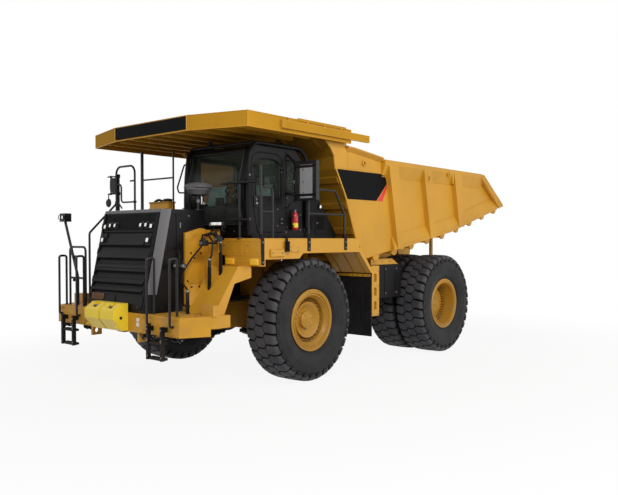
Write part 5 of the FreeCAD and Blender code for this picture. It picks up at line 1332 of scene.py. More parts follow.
def dash():
    """Moulded dash, wheel with spokes and horn pad, levers, screens and the floor mat."""
    s = Shape(plastic)
    z = cab_floor
    y0, y1 = 0.33, 1.34
    profile = [(0.8, z), (0.86, z + 0.1), (0.86, z + 0.3), (0.83, z + 0.4), (0.87, z + 0.455),
        (0.95, z + 0.46), (1, z + 0.42), (1.01, z + 0.36), (0.94, z)]
    rings = [upright(y, profile) for y in (y0, y0 + 0.3, driver_y - 0.2, driver_y + 0.2, y1)]
    s.loft(rings, trim_plastic)
    hub = at(0.76, driver_y, z + 0.64)
    s.pipe([at(0.93, driver_y, z + 0.38), at(0.85, driver_y, z + 0.5), hub], 0.034, 14)
    tilt = vec(-0.17, 0, 0.24).normalized()
    u, v = across(tilt)
    gasket(s, circle(hub, u, v, 0.2, 36), 0.0155)
    s.disc(hub - tilt * 0.03, tilt, [(0, 0.03), (0.02, 0.06), (0.045, 0.055), (0.055, 0.03)], 20)
    for end in circle(hub, u, v, 0.195, 3, math.pi / 2):
        s.rod(hub, end, 0.012, 8)
    for side, reach in ((1, 0.16), (-1, 0.15)):
        s.rod(hub - tilt * 0.08, hub - tilt * 0.07 + vec(0, side * reach, 0.02), 0.008, 8)
    pad(s, at(0.86, driver_y, z + 0.44), (-0.6, 0, 0.8), 0.17, 0.07, 0.02, 0.03, up=(0.8, 0, 0.6))
    for k in (-1, 0, 1):
        s.disc(at(0.853, driver_y + 0.1 * k, z + 0.447), (-0.6, 0, 0.8), [(0.015, 0.036), (0.024, 0.036),
            (0.026, 0.03)], 20, grey_plastic)
    s.box(at(0.88, 0.52, z + 0.46), at(0.9, 0.72, z + 0.6))
    s.box(at(0.878, 0.535, z + 0.475), at(0.88, 0.705, z + 0.585), mirror_face)
    for k in range(4):
        s.box(at(0.845, 0.4 + 0.05 * k, z + 0.33), at(0.862, 0.43 + 0.05 * k, z + 0.37), grey_plastic)
    for y in (driver_y - 0.12, driver_y + 0.02, driver_y + 0.14):
        s.box(at(0.66, y - 0.035, z + 0.03), at(0.8, y + 0.035, z + 0.05), turn=Matrix.Rotation(-0.9, 3,
            "Y"))
    piece = s.piece("dash", "trim_plastic", 0.006)
    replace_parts(piece, "console")
    room = Shape(trim_plastic)
    room.box(at(0, 0.2, z - 0.002), at(0.98, 1.48, z + 0.012), hose)
    for i in range(14):
        room.box(at(0.05 + 0.065 * i, 0.24, z + 0.012), at(0.075 + 0.065 * i, 1.44, z + 0.016), hose)
    room.box(at(-0.1, 0.2, z + 0.02), at(-0.085, 1.45, z + 0.7))
    room.box(at(0.05, driver_y - 0.44, z + 0.02), at(0.62, driver_y - 0.3, z + 0.42))
    room.rod(at(0.42, driver_y - 0.37, z + 0.42), at(0.44, driver_y - 0.37, z + 0.56), 0.012, finish=plastic)
    room.disc(at(0.44, driver_y - 0.37, z + 0.55), UP, [(0, 0.02), (0.02, 0.032), (0.05, 0.03),
        (0.065, 0.014)], 16, plastic)
    room.box(at(0.02, 0.24, 3.8), at(0.98, 1.42, 3.845))
    room.piece("cab_lining", "trim_plastic", 0.004)


def cab_side_kit():
    """Extinguisher, mirror plate and arms, rear box vents and lamp."""
    s = Shape(black)
    x, y = 0.1, cab_left + 0.075
    s.disc(at(x, y, 2.56), UP, [(0, 0.044), (0.012, 0.052), (0.24, 0.052), (0.28, 0.038), (0.3, 0.02)],
        finish=enamel_red)
    s.disc(at(x, y, 2.6), UP, [(0, 0.0532), (0.075, 0.0532)], finish=enamel_guard)
    s.disc(at(x, y, 2.86), UP, [(0, 0.02), (0.03, 0.02), (0.04, 0.012)], 16, plated)
    s.box(at(x - 0.05, y - 0.012, 2.895), at(x + 0.04, y + 0.012, 2.91), plastic)
    s.pipe(upright(y, [(x + 0.02, 2.875), (x + 0.09, 2.86), (x + 0.085, 2.72), (x + 0.075, 2.62)]), 0.01, 8,
        hose)
    for z in (2.62, 2.78):
        s.box(at(x - 0.075, cab_left, z - 0.014), at(x + 0.075, y + 0.02, z + 0.014), plastic)
    # left mirror: glass behind, bolted plate in front, clamps and arms
    face_x, back_x = front_x + 0.249, front_x + 0.169
    pad(s, (face_x, 2.013, 3.353), AHEAD, 0.135, 0.275, 0.006, 0.012, finish=grey_plate)
    for z in (3.17, 3.35, 3.55):
        s.bolt((face_x + 0.006, 1.955, z), AHEAD, 0.011)
    for z in (3.13, 3.6):
        s.box((face_x, 1.77, z - 0.02), (face_x + 0.012, 2.22, z + 0.02))
    pad(s, (back_x, 1.995, 3.44), (-1, 0, 0), 0.215, 0.235, 0.006, finish=mirror_face)
    pad(s, (back_x, 1.995, 3.13), (-1, 0, 0), 0.215, 0.065, 0.006, dome=0.006, finish=mirror_face)
    rim = [vec(back_x - 0.004, yy, zz) for yy, zz in ((1.77, 3.05), (2.22, 3.05), (2.22, 3.68),
        (1.77, 3.68))]
    gasket(s, rim, 0.011, plastic)
    for y0, z0, y1, z1 in ((cab_left, 3.84, 1.8, 3.62), (cab_left, 3.18, 1.8, 3.12)):
        s.rod(at(0.215, y0 - 0.01, z0), at(0.215, y1, z1), 0.017)
        s.box(at(0.18, cab_left, z0 - 0.045), at(0.25, cab_left + 0.012, z0 + 0.045))
    s.rod(*span(0.215, 1.735, (3.02, 3.74)), 0.019)
    for z in (3.16, 3.36, 3.64):
        collar(s, at(0.215, 1.735, z), UP, 0.019, 0.06, plated if z == 3.36 else black)
    s.pipe([at(0.24, 1.735, 3.08), at(0.3, 1.7, 3), at(0.26, 1.62, 2.93), at(0.24, cab_left, 2.93)], 0.009,
        8, hose)
    # housing behind the cab: louvred doors, handles, lamp and cable
    wall = high("cab_rear_box").y
    for x0, x1, z0, z1 in ((-0.5, -0.22, 2.5, 3.26), (-0.82, -0.54, 2.5, 2.88)):
        pad(s, at((x0 + x1) / 2, wall, (z0 + z1) / 2), ACROSS, (x1 - x0) / 2, (z1 - z0) / 2, 0.012)
        for i in range(5):
            z = z0 + 0.08 + 0.05 * i
            s.prism(facing(x0 + 0.04, [(wall + 0.012, z), (wall + 0.03, z - 0.004),
                (wall + 0.012, z + 0.034)]), (x1 - x0 - 0.08, 0, 0))
        s.rod(*span(x1 - 0.03, (wall + 0.012, wall + 0.034), (z0 + z1) / 2), 0.014, 14, plated)
    square_lamp(s, at(-0.66, wall, 2.98), ACROSS, 0.034)
    s.pipe([at(-0.22, wall + 0.02, 3.5), at(-0.3, wall + 0.02, 3.44), at(-0.36, wall + 0.03, 3.1),
        at(-0.3, wall + 0.03, 2.6), at(-0.25, wall + 0.02, 2.44)], 0.013, 8, hose)
    inner = low("cab_rear_box").y
    for i in range(4):
        s.box(at(-0.9 + 0.18 * i, inner - 0.012, 2.5), at(-0.76 + 0.18 * i, inner, 2.62 + 0.22 * i))
    s.piece("cab_side_fittings", "black_paint")


def right_mirror():
    """Mirror glass, clamps, wide-angle mirror and cable on the right deck."""
    s = Shape(black)
    centre = at(1.21, -2.06, 3.425)
    turn = math.radians(-34)
    out = vec(-math.cos(turn), -math.sin(turn), 0)
    pad(s, centre + out * 0.04, out, 0.165, 0.15, 0.005, finish=mirror_face)
    back = centre - out * 0.04
    pad(s, back, -out, 0.15, 0.135, 0.008, 0.03, 0.012, plastic)
    side = UP.cross(out)
    ring = rounded_square(centre + out * 0.042, side, UP, 0.172, 0.156, 0.02)
    gasket(s, ring, 0.01, plastic)
    for z in (3.27, 3.6):
        collar(s, at(1.21, -1.88, z), UP, 0.024, 0.07)
        collar(s, at(1.21, -2.13, z), ACROSS, 0.013)
    low_eye = at(1.22, -2.205, 3.1)
    s.disc(low_eye + vec(0.02, 0, 0), (-1, 0, 0), [(0, 0.05), (0.012, 0.075), (0.03, 0.085), (0.034, 0.08)],
        22, plastic)
    s.disc(low_eye + vec(-0.014, 0, 0), (-1, 0, 0), [(0, 0.078), (0.008, 0.06), (0.013, 0.03)], 22,
        mirror_face)
    s.rod(at(1.22, -2.2, 3.17), at(1.21, -2.2, 3.28), 0.01, 8)
    s.pipe([at(1.21, -1.855, 3.55), at(1.23, -1.84, 3.3), at(1.22, -1.85, 2.8), at(1.2, -1.86, 2.43)], 0.008,
        8, hose)
    # pole of the wide low mirror over the hood
    collar(s, at(1.5, 0.78, 3.02), UP, 0.019, 0.06, plated)
    foot_plate(s, at(1.5, 0.78, high("hood").z), UP, 0.019)
    s.piece("mirror_fittings", "black_paint")


# ---------- dump body
plate_y = 1.9
rib_y = 2
rib_pitch = (-2.214 + 4.215 + 1.955) / 3 - 0.045


def floor_height(x):
    """Underside of the body's floor, front-axle measure."""
    if x > -4.6:
        return 2.036 + (-1.576 - x) * 0.514 / 3.024
    return 2.55 + (-4.6 - x) * 0.65 / 2.57


def rib_edge(index, z, width=0):
    """X of a rib's front edge (width 0) or back edge (width 1) at a height."""
    top = -2.214 - rib_pitch * index
    low = floor_height(top - 0.31) + 0.01
    lean = 0.2 * (3.77 - low)
    share = (3.77 - z) / (3.77 - low)
    front = top - lean * share
    return front if width == 0 else top - 0.31 - 0.6 * lean * share


def side_welds():
    """Weld beads round the ribs, rails and tail post, lifting eyes and rib plates, both sides."""
    s = Shape(enamel_body)
    for i in range(3):
        foot = floor_height(-2.7 - rib_pitch * i) + 0.3
        for width in (0, 1):
            bead(s, [at(rib_edge(i, z, width) + (0.004 if width == 0 else -0.004), plate_y + 0.004,
                z) for z in (3.5, foot)], 0.009, 0.05)
        for z in (3.7, 3.2, 2.75):
            if z > foot + 0.1:
                middle_x = (rib_edge(i, z) + rib_edge(i, z, 1)) / 2
                bead(s, span((middle_x - 0.11, middle_x + 0.11), rib_y + 0.001, z), 0.003, 0.03)
        top_front, top_back = rib_edge(i, 3.77), rib_edge(i, 3.77, 1)
        s.prism(facing(top_front, [(rib_y - 0.1, 3.77), (rib_y, 3.77), (rib_y - 0.012, 3.83),
            (rib_y - 0.1, 3.83)]), (top_back - top_front, 0, 0))
    # foot rail: beads along its edges
    for xa, xb in ((-1.6, -2.42), (-2.62, -4.6), (-4.6, -6.88)):
        za, zb = floor_height(xa), floor_height(xb)
        if xa < -2.5:
            bead(s, span((xa, xb), plate_y + 0.002, (za + 0.292, zb + 0.292)), 0.008, 0.06)
            for lift in (0.062, 0.004):
                bead(s, span((xa, xb), plate_y + 0.086, (za + lift, zb + lift)), 0.006, 0.06)
        else:
            bead(s, span((xa, xb), plate_y, (za + 0.01, zb + 0.01)), 0.01, 0.05)
    bead(s, span((-4.215 - 1.955, -2.09), plate_y + 0.003, 3.598), 0.008, 0.06)
    s.pipe(span((-2.03, -6.16), 1.945, 3.905), 0.02)
    # tail post: doubled edges and the wear strip
    top, foot = at(-6.1, rib_y, 3.83), at(-7.04, rib_y, 3.2)
    away = vec(0.66, 0, -0.75)
    for shift in (0.02, 0.085):
        s.rod(top + away * shift, foot + away * shift, 0.006, 6)
    s.plate([(-6.155, 3.905), (-7.165, 3.245), (-7.165, 3.205), (-6.155, 3.865)], plate_y, 0.104)
    # front slab: edge bar along the leaning wall, seams
    wall = [(-1.576, 2.036), (-1.275, 2.429), (-0.99, 3.12), (-0.678, 3.635), (-0.636, 3.855),
        (-0.513, 4.021), (-0.385, 4.133), (-0.3, 4.215)]
    gasket(s, [at(x - 0.006, 1.885, z) for x, z in wall], 0.016, closed=False)
    bead(s, span(-1.03, plate_y + 0.002, (3.645, 4.09)), 0.006, 0.05)
    bead(s, span((-0.72, -2.2), plate_y + 0.002, 3.668), 0.004, 0.06)
    s.loft([facing(x, [(plate_y - 0.01, z + 0.018), (plate_y + wide, z + 0.01), (plate_y + wide, z - 0.012),
        (plate_y - 0.01, z - 0.085)]) for x, z, wide in ((-0.98, 4.055, 0.05), (-1.1, 4.044, 0.085), (-2.02,
        3.942, 0.085), (-2.12, 3.928, 0.04))])
    # lifting eyes, with dark discs of painted shade in their holes
    z = 3.8
    for x, y in ((-1.5, plate_y), (-4.5, 1.985)):
        s.disc(at(x, y, z), ACROSS, [(0, 0.055), (0.03, 0.052), (0.034, 0.046), (0.034, 0.028),
            (0.004, 0.026)], 20, caps=False)
        s.disc(at(x, y + 0.002, z), ACROSS, [(0, 0.027), (0.002, 0.027)], 16, black)
    eye_x = (rib_edge(1, 3.66) + rib_edge(1, 3.66, 1)) / 2
    s.disc(at(eye_x, rib_y - 0.002, 3.655), ACROSS, [(0, 0.085), (0.01, 0.082), (0.012, 0.055),
        (0.003, 0.05)], caps=False)
    # disc in the rib plate's hole, in the darkened yellow: painted shade
    s.disc(at(eye_x, rib_y - 0.001, 3.655), ACROSS, [(0, 0.05), (0.003, 0.05)], finish=shaded)
    s.plate([(rib_edge(2, 3.77) + 0.1, 3.8), (rib_edge(2, 3.77) + 0.02, 3.8), (rib_edge(2, 3.77) + 0.02,
        3.6), (rib_edge(2, 3.77) + 0.06, 3.62)], plate_y, 0.09)
    s.mirror().piece("body_side_fittings", body="dump_body")


def side_stripes():
    """Blank black panel with its red corner stripe, both sides."""
    s = Shape(sticker_red)
    y = plate_y + 0.001
    s.plate(((-0.715, 3.64), (-2.2, 3.645), (-2.258, 3.462), (-1.915, 3.126), (-1.02, 3.123)), y, 0.004,
        sticker_black)
    s.plate(((-2.264, 3.448), (-2.272, 3.4), (-2.12, 3.126), (-1.945, 3.126)), y, 0.004)
    s.mirror().piece("side_panels", "trim_plastic", body="dump_body")


def canopy_details():
    """Blank panel on the brow, seams, edge bars, lifting eyes and gussets below."""
    s = Shape(enamel_body)
    nose, side, corner = 1.895, 2.027, 1.601
    s.box(at(nose, -0.955, 4.118), at(nose + 0.004, 0.95, 4.322), sticker_black)
    for z in (4.101, 4.334):
        s.rod(*span(nose, (-0.964, 0.964), z), 0.007, 8)
        for sign in (-1, 1):
            s.rod(at(nose, sign * 0.964, z), at(corner, sign * side, z), 0.007, 8)
            s.rod(*span((corner, -0.95), sign * side, z), 0.007, 8)
    half = Shape(enamel_body)
    bead(half, span(nose + 0.002, 0.964, (4.1, 4.335)), step=0.03)
    bead(half, span(corner, side, (4.1, 4.335)), step=0.03)
    for z in (4.276, 4.16):
        half.rod(*span((0.87, -1.45), 2.071, z), 0.007, 8)
    half.prism(facing(0.87, [(2.03, 4.155), (2.075, 4.155), (2.075, 4.28), (2.03, 4.28)]), (0.012, 0, 0))
    for x in (0.7, 0.25, -0.2, -0.65):
        half.box(at(x - 0.015, 2.02, 4.275), at(x + 0.015, 2.05, 4.33))
        bead(half, span(x, 2.0265, (4.11, 4.155)), 0.005, 0.02)
    for x in (1.3, -0.6):
        half.disc(at(x, 1.55, 4.275), ACROSS, [(-0.012, 0.06), (0.012, 0.06)], 20)
        # black core of the eye: painted shade in its hole
        half.disc(at(x, 1.5, 4.29), ACROSS, [(0.034, 0.03), (0.066, 0.03)], 16, black)
    # ribs and welds under the roof, in painted deep shade
    for y in (0.405, 0.81, 1.215, 1.62):
        for x in (1, 0.3, -0.15):
            half.prism(facing(x, [(y + 0.034, 4.235), (y + 0.034, 4.15), (y + 0.1, 4.235)]), (0.012, 0, 0),
                painted_deep_shade)
        for edge in (y + 0.036, y - 0.036):
            bead(half, span((-0.24, 1.5), edge, 4.246), 0.005, 0.05, painted_deep_shade)
    for y in (0.5, 1.35):
        bead(half, span((-0.9, 1.58), y, 4.281), 0.004, 0.05)
    # gussets between the front wall and the roof, cross bars on the wall, all in painted deep shade
    for y in (0.3, 1, 1.7):
        half.plate([(-0.36, 4.22), (-0.6, 3.93), (-0.1, 4.22)], y - 0.01, 0.02, painted_deep_shade)
    for z, x in ((2.496, -1.247), (2.946, -1.061), (3.396, -0.823)):
        bead(half, span(x + 0.012, (0, 1.86), z - 0.006), step=0.06, finish=painted_deep_shade)
    for y in (0.62, 1.24):
        half.plate([(-1.262, 2.47), (-1.2, 2.62), (-1.195, 2.5)], y - 0.02, 0.04, painted_deep_shade)
    s.piece("canopy_panel", body="dump_body")
    half.mirror().piece("canopy_fittings", body="dump_body")


def body_inside():
    """Scoured liner of the floor, walls and front, with wear bars near the tail."""
    s = Shape(scoured_steel)
    y = 1.866
    lift = 0.046
    line = [(-1.6, 2.036 + lift), (-4.6, 2.55 + lift), (-7.15, 3.195 + lift)]
    for (xa, za), (xb, zb) in zip(line, line[1:]):
        steps = 6
        for k in range(steps):
            t0, t1 = k / steps, (k + 0.985) / steps
            p0, p1 = (xa + (xb - xa) * t0, za + (zb - za) * t0), (xa + (xb - xa) * t1, za + (zb - za) * t1)
            for side0, side1 in ((-y, -0.005), (0.005, y)):
                s.loft([facing(x, [(side0, z - 0.006), (side1, z - 0.006), (side1, z), (side0, z)]) for x,
                    z in (p0, p1)])
    for side in (-1, 1):
        outline = [(-1.7, 2.11), (-4.6, 2.61), (-7.1, 3.25), (-6.17, 3.86), (-2.1, 3.86), (-1.1, 3.6),
            (-1.2, 3.1)]
        s.plate(outline, side * 1.869, -side * 0.006)
        for k in range(5):
            x = -2.4 - 0.85 * k
            bead(s, span(x, side * 1.862, (floor_height(x) + 0.07, 3.8)), 0.006, 0.07)
    face = [(-1.335, 2.429), (-1.05, 3.12), (-0.738, 3.635), (-0.696, 3.855)]
    rings = [[at(px, -1.86, pz), at(px, 1.86, pz), at(px + 0.008, 1.86, pz), at(px + 0.008, -1.86, pz)]
        for px, pz in face]
    s.loft(rings)
    for k in range(4):
        x = -6.35 - 0.19 * k
        z = floor_height(x) + lift
        s.box(at(x - 0.03, -1.8, z - 0.002), at(x + 0.03, 1.8, z + 0.014), raw_steel)
    s.piece("body_liner", body="dump_body", sharp=30)


def under_body():
    """Rubber pads, pivot caps, hoist pins, rib welds, and the tail lip with its gussets."""
    s = Shape(shaded)
    for x0, x1 in ((-4.215 + 0.72, -4.215 + 1.18), (-4.215 - 0.33, -4.215 + 0.13)):
        s.box(at(x0, 0.37, 1.842), at(x1, 0.53, 1.877), hose)
        s.bolts((x0 + 0.04, x1 - 0.04), 0.54, 1.9, ACROSS, 0.01)
    pivot = at(-4.85, 0, 1.72)
    for y in (0.672, 0.682):
        s.disc(pivot + vec(0, y, 0), ACROSS, [(0, 0.12), (0.01, 0.118), (0.012, 0.1)], 28)
    for place in ring_places(pivot, ACROSS, 0.095, 6, 0.694):
        s.bolt(place, ACROSS, 0.011)
    head = at(-2.735, 0, 2.011)
    s.disc(head + vec(0, 0.703, 0), ACROSS, [(0, 0.034), (0.013, 0.034), (0.014, 0.1), (0.022, 0.1),
        (0.024, 0.05), (0.034, 0.048)])
    for k in range(9):
        x = -1.576 - 0.342 - 0.62175 * k
        z = floor_height(x)
        for shift in (-0.112, 0.112):
            z_edge = floor_height(x + shift) - 0.004
            bead(s, span(x + shift, (0.8 if k < 4 else 0.56, 1.86), z_edge), step=0.07)
        s.disc(at(x, 1.868, z - 0.008), ACROSS, [(0, 0.108), (0.026, 0.105), (0.03, 0.098)],
            finish=enamel_body)
    s.rod(*span(-7.16, (0, 1.99), 3.213), 0.018, 10, enamel_body)
    for y in (0.45, 1.1, 1.72):
        s.plate([(-7.14, 3.19), (-6.9, 3.13), (-6.9, 3.05)], y - 0.01, 0.02)
    s.mirror().piece("under_body_fittings", body="dump_body")


# ---------- decks and skirts
def panel_grid(shape, x0, x1, y0, y1, along, wide):
    """Walkway plates laid edge to edge on a deck, with countersunk bolts at their corners."""
    gap, top = 0.008, deck_z + 0.006
    for i in range(along):
        for j in range(wide):
            xa, xb = x0 + (x1 - x0) * i / along + gap, x0 + (x1 - x0) * (i + 1) / along - gap
            ya, yb = y0 + (y1 - y0) * j / wide + gap, y0 + (y1 - y0) * (j + 1) / wide - gap
            shape.box(at(xa, ya, deck_z - 0.002), at(xb, yb, top), walkway)
            for x, y in product((xa + 0.03, xb - 0.03), (ya + 0.03, yb - 0.03)):
                shape.disc(at(x, y, top), UP, [(-0.001, 0.012), (0.003, 0.01)], 8, plated)


def decks():
    """Walkway plates, hatches, edge strips and the bars that carry the handrails."""
    s = Shape(black)
    z = deck_z
    for x0, x1, y0, y1, along, wide in ((-1.2, 1.26, 1.6, 1.95, 5, 1), (1.08, 1.26, 0.1, 1.56, 1, 3),
            (-1.2, 0.3, -0.86, -0.05, 2, 1), (-1.2, 1.22, -1.95, -0.92, 4, 2), (-1.2, -0.22, 0.04, 0.42, 2,
            1)):
        panel_grid(s, x0, x1, y0, y1, along, wide)
    for x, y in ((-0.3, -0.62), (-0.3, -0.3)):
        s.pipe(facing(x, [(y, z + 0.004), (y, z + 0.05), (y + 0.14, z + 0.05), (y + 0.14, z + 0.004)]),
            0.008, 8)
    # covers standing on the right deck: filter housings with strap bands and a low cabinet
    for x in (0.15, 0.62):
        s.disc(at(x, -1.3, z + 0.28), (0, -1, 0), [(-0.3, 0.1), (-0.28, 0.21), (-0.24, 0.225), (0.24, 0.225),
            (0.27, 0.2), (0.3, 0.16), (0.33, 0.06)], 36)
        for y in (-1.16, -1.44):
            s.disc(at(x, y, z + 0.28), ACROSS, [(-0.02, 0.225), (-0.018, 0.232), (0.018, 0.232),
                (0.02, 0.225)], 36, plated, False)
            s.box(at(x - 0.16, y - 0.03, z), at(x + 0.16, y + 0.03, z + 0.12))
    s.pipe([at(0.15, -0.98, z + 0.28), at(0.15, -0.9, z + 0.28), at(0.15, -0.84, z + 0.1),
        at(0.2, -0.7, z - 0.02)], 0.085, 18, hose)
    cabinet = at(-0.75, -1.36, z)
    for size, top in ((0, 0.42), (0.012, 0.44)):
        half = vec(0.28 - size, 0.3 - size, 0)
        s.box(cabinet - half, cabinet + half + UP * top, yellow)
    for x in (-0.14, 0.14):
        pad(s, cabinet + vec(x, -0.3, 0.22), (0, -1, 0), 0.12, 0.17, 0.01, finish=yellow)
        s.rod(cabinet + vec(x + 0.08, -0.31, 0.22), cabinet + vec(x + 0.08, -0.335, 0.22), 0.014,
            finish=plated)
    s.piece("deck_plates")

    e = Shape(yellow)
    skirt = 2
    for x0, x1, zz in ((-1.24, 0.3, 2.172), (0.41, 1.28, 2.087)):
        bead(e, span((x0, x1), skirt - 0.003, zz + 0.002), 0.006, 0.05)
    e.rod(*span((-1.24, 1.28), skirt - 0.006, deck_z - 0.004), 0.009, 8)
    e.prism(facing(0.8, [(skirt, 2.117), (skirt + 0.03, 2.13), (skirt + 0.03, 2.235), (skirt, 2.247)]),
        (0.3, 0, 0))
    e.bolts((0.84, 1.06), skirt + 0.03, 2.185, ACROSS, 0.01)
    pad(e, at(0.532, skirt, 2.24), ACROSS, 0.122, 0.05, 0.014, 0.015)
    e.bolts((0.45, 0.615), skirt + 0.014, (2.215, 2.265), ACROSS, 0.008)
    for x, z0, wide in ((1.263, 2, 0.03), (0.165, 2.205, 0.036), (-0.83, 2.21, 0.036)):
        e.box(at(x - wide, skirt - 0.004, z0), at(x + wide, skirt + 0.013, deck_z + 0.02), black)
        e.bolts(x, skirt + 0.013, (z0 + 0.04, deck_z - 0.06), ACROSS, 0.01)
        e.box(at(x - wide, 1.955, deck_z - 0.002), at(x + wide, skirt + 0.01, deck_z + 0.014), black)
        collar(e, at(x if x != 1.263 else 1.27, 1.975, deck_z + 0.05), UP, 0.022, finish=black, lugs=False)
    for i in range(7):
        zz = 2.2 + 0.024 * i
        e.disc(at(0.735, skirt + 0.042, zz), UP, [(0, 0.034), (0.012, 0.044), (0.024, 0.034)], 16, hose)
    e.pipe([at(0.735, skirt + 0.035, 2.36), at(0.735, skirt + 0.03, 2.405), at(0.72, skirt - 0.01, 2.44),
        at(0.7, 1.9, 2.425)], 0.017, 8, hose)
    e.box(at(0.715, skirt, 2.372), at(0.755, skirt + 0.02, 2.396), plated)
    e.box(at(-1.245, 0.84, 2.18), at(-1.238, 1.93, 2.36))
    e.bolts(-1.245, (0.95, 1.4, 1.85), 2.27, (-1, 0, 0), 0.01)
    e.bolts(1.28, (1.15, 1.7), 2.3, AHEAD, 0.01)
    e.mirror().piece("skirt_fittings")


def fender_details():
    """Ribs and bolts of the front fenders, flap clamps, and a plate of painted shade behind the hanger
    slots.
    """
    s = Shape(yellow)
    x0, z0, x1, z1 = -1.24, 2.172, -1.615, 1.77
    run = vec(x1 - x0, 0, z1 - z0)
    out = vec(run.z, 0, -run.x).normalized()
    # ribs under the fender, in the darkened yellow: painted shade
    for y in (1.3, 1.6, 1.88):
        start, end = at(x0 - 0.02, y, z0 - 0.02), at(x1 + 0.01, y, z1 + 0.012)
        wide, deep = vec(0, 0.014, 0), out * -0.012
        s.loft([[p, p + wide, p + wide + deep, p + deep] for p in (start, end)], shaded)
    bead(s, span((-1.3, -1.655), 1.995, (2.238, 1.805)), step=0.04)
    bead(s, span((-1.245, -1.62), 1.996, (2.176, 1.773)), 0.006, 0.04)
    s.box(at(-1.612, 1.17, 1.7), at(-1.604, 1.985, 1.75))
    bolt_row(s, at(-1.604, 1.22, 1.725), at(-1.604, 1.94, 1.725), 7, AHEAD, 0.01)
    for k in range(3):
        s.rod(*span(-1.6145, 1.3 + 0.25 * k, (0.7, 1.66)), 0.004, 6, flap_rubber)
    s.box(at(-1.6155, 1.2, 0.6), at(-1.6115, 1.95, 0.64), flap_rubber)
    # plate behind the hanger slots, in the darkened yellow: painted shade
    s.box(at(-1.83, 1.944, 0.98), at(-1.72, 1.95, 1.76), shaded)
    s.bolts(-1.865, 1.98, (0.99, 1.27, 1.53, 1.8), ACROSS, 0.01)
    bead(s, span(-1.895, 1.979, (0.97, 1.88)), 0.005, 0.04)
    s.mirror().piece("fender_fittings", "flap_rubber")


def tank_details():
    """Fuel and hydraulic tanks: covers, straps, filler, breather, sight gauge and drain."""
    s = Shape(yellow)
    x0, x1 = -3.083, -1.96
    cover = [(-2.993, 1.897), (-2.045, 1.897), (-2.045, 2.013), (-2.78, 2.013)]
    s.plate(cover, 0.896, 0.787)
    bead(s, span((-2.99, -2.05), 1.684, 1.902), 0.005, 0.04)
    s.bolts((-2.12, -2.42, -2.7), 1.683, 1.955, ACROSS, 0.009)
    b = Shape(black)
    for x in (-2.16, -2.52, -2.9):
        b.box(at(x - 0.03, 0.62, 1.236), at(x + 0.03, 1.706, 1.241))
        b.box(at(x - 0.03, 1.699, 1.3), at(x + 0.03, 1.707, 1.84))
        b.bolts(x, 1.707, (1.33, 1.81), ACROSS, 0.011)
    for y in (0.6, 1.695):
        b.rod(*span((x0 + 0.09, x1 - 0.09), y, 1.245), 0.008, 8)
    b.disc(at(-1.9605, 1.35, 1.7), AHEAD, [(0, 0.05), (0.02, 0.05), (0.03, 0.03)], 20, plated)
    b.box(at(-1.961, 1.55, 1.38), at(-1.95, 1.6, 1.78), grey_plastic)
    # sight gauge glass in the lamp-lens finish, whose glow is painted light
    b.box(at(-1.95, 1.562, 1.4), at(-1.946, 1.588, 1.76), clear_lens)
    b.disc(at(-2.3, 1.3, 1.236), (0, 0, -1), [(0, 0.035), (0.02, 0.035), (0.03, 0.02)], 14, plated)
    b.mirror()
    b.disc(at(-2.5, -1.4, 1.9), UP, [(0, 0.085), (0.03, 0.085), (0.035, 0.07), (0.09, 0.07), (0.1, 0.06)],
        28)
    b.disc(at(-2.2, -1.1, 1.9), UP, [(0, 0.06), (0.12, 0.06), (0.14, 0.045)], finish=plated)
    for x, y in ((-2.75, -0.95), (-2.75, -1.15)):
        b.pipe([at(x, y, 1.89), at(x, y, 2), at(x, -0.7, 2.02), at(x + 0.3, -0.52, 1.7),
            at(-1.9, -0.5, 1.6)], 0.022, finish=hose)
    s.piece("tank_cover")
    b.piece("tank_fittings", "black_paint")


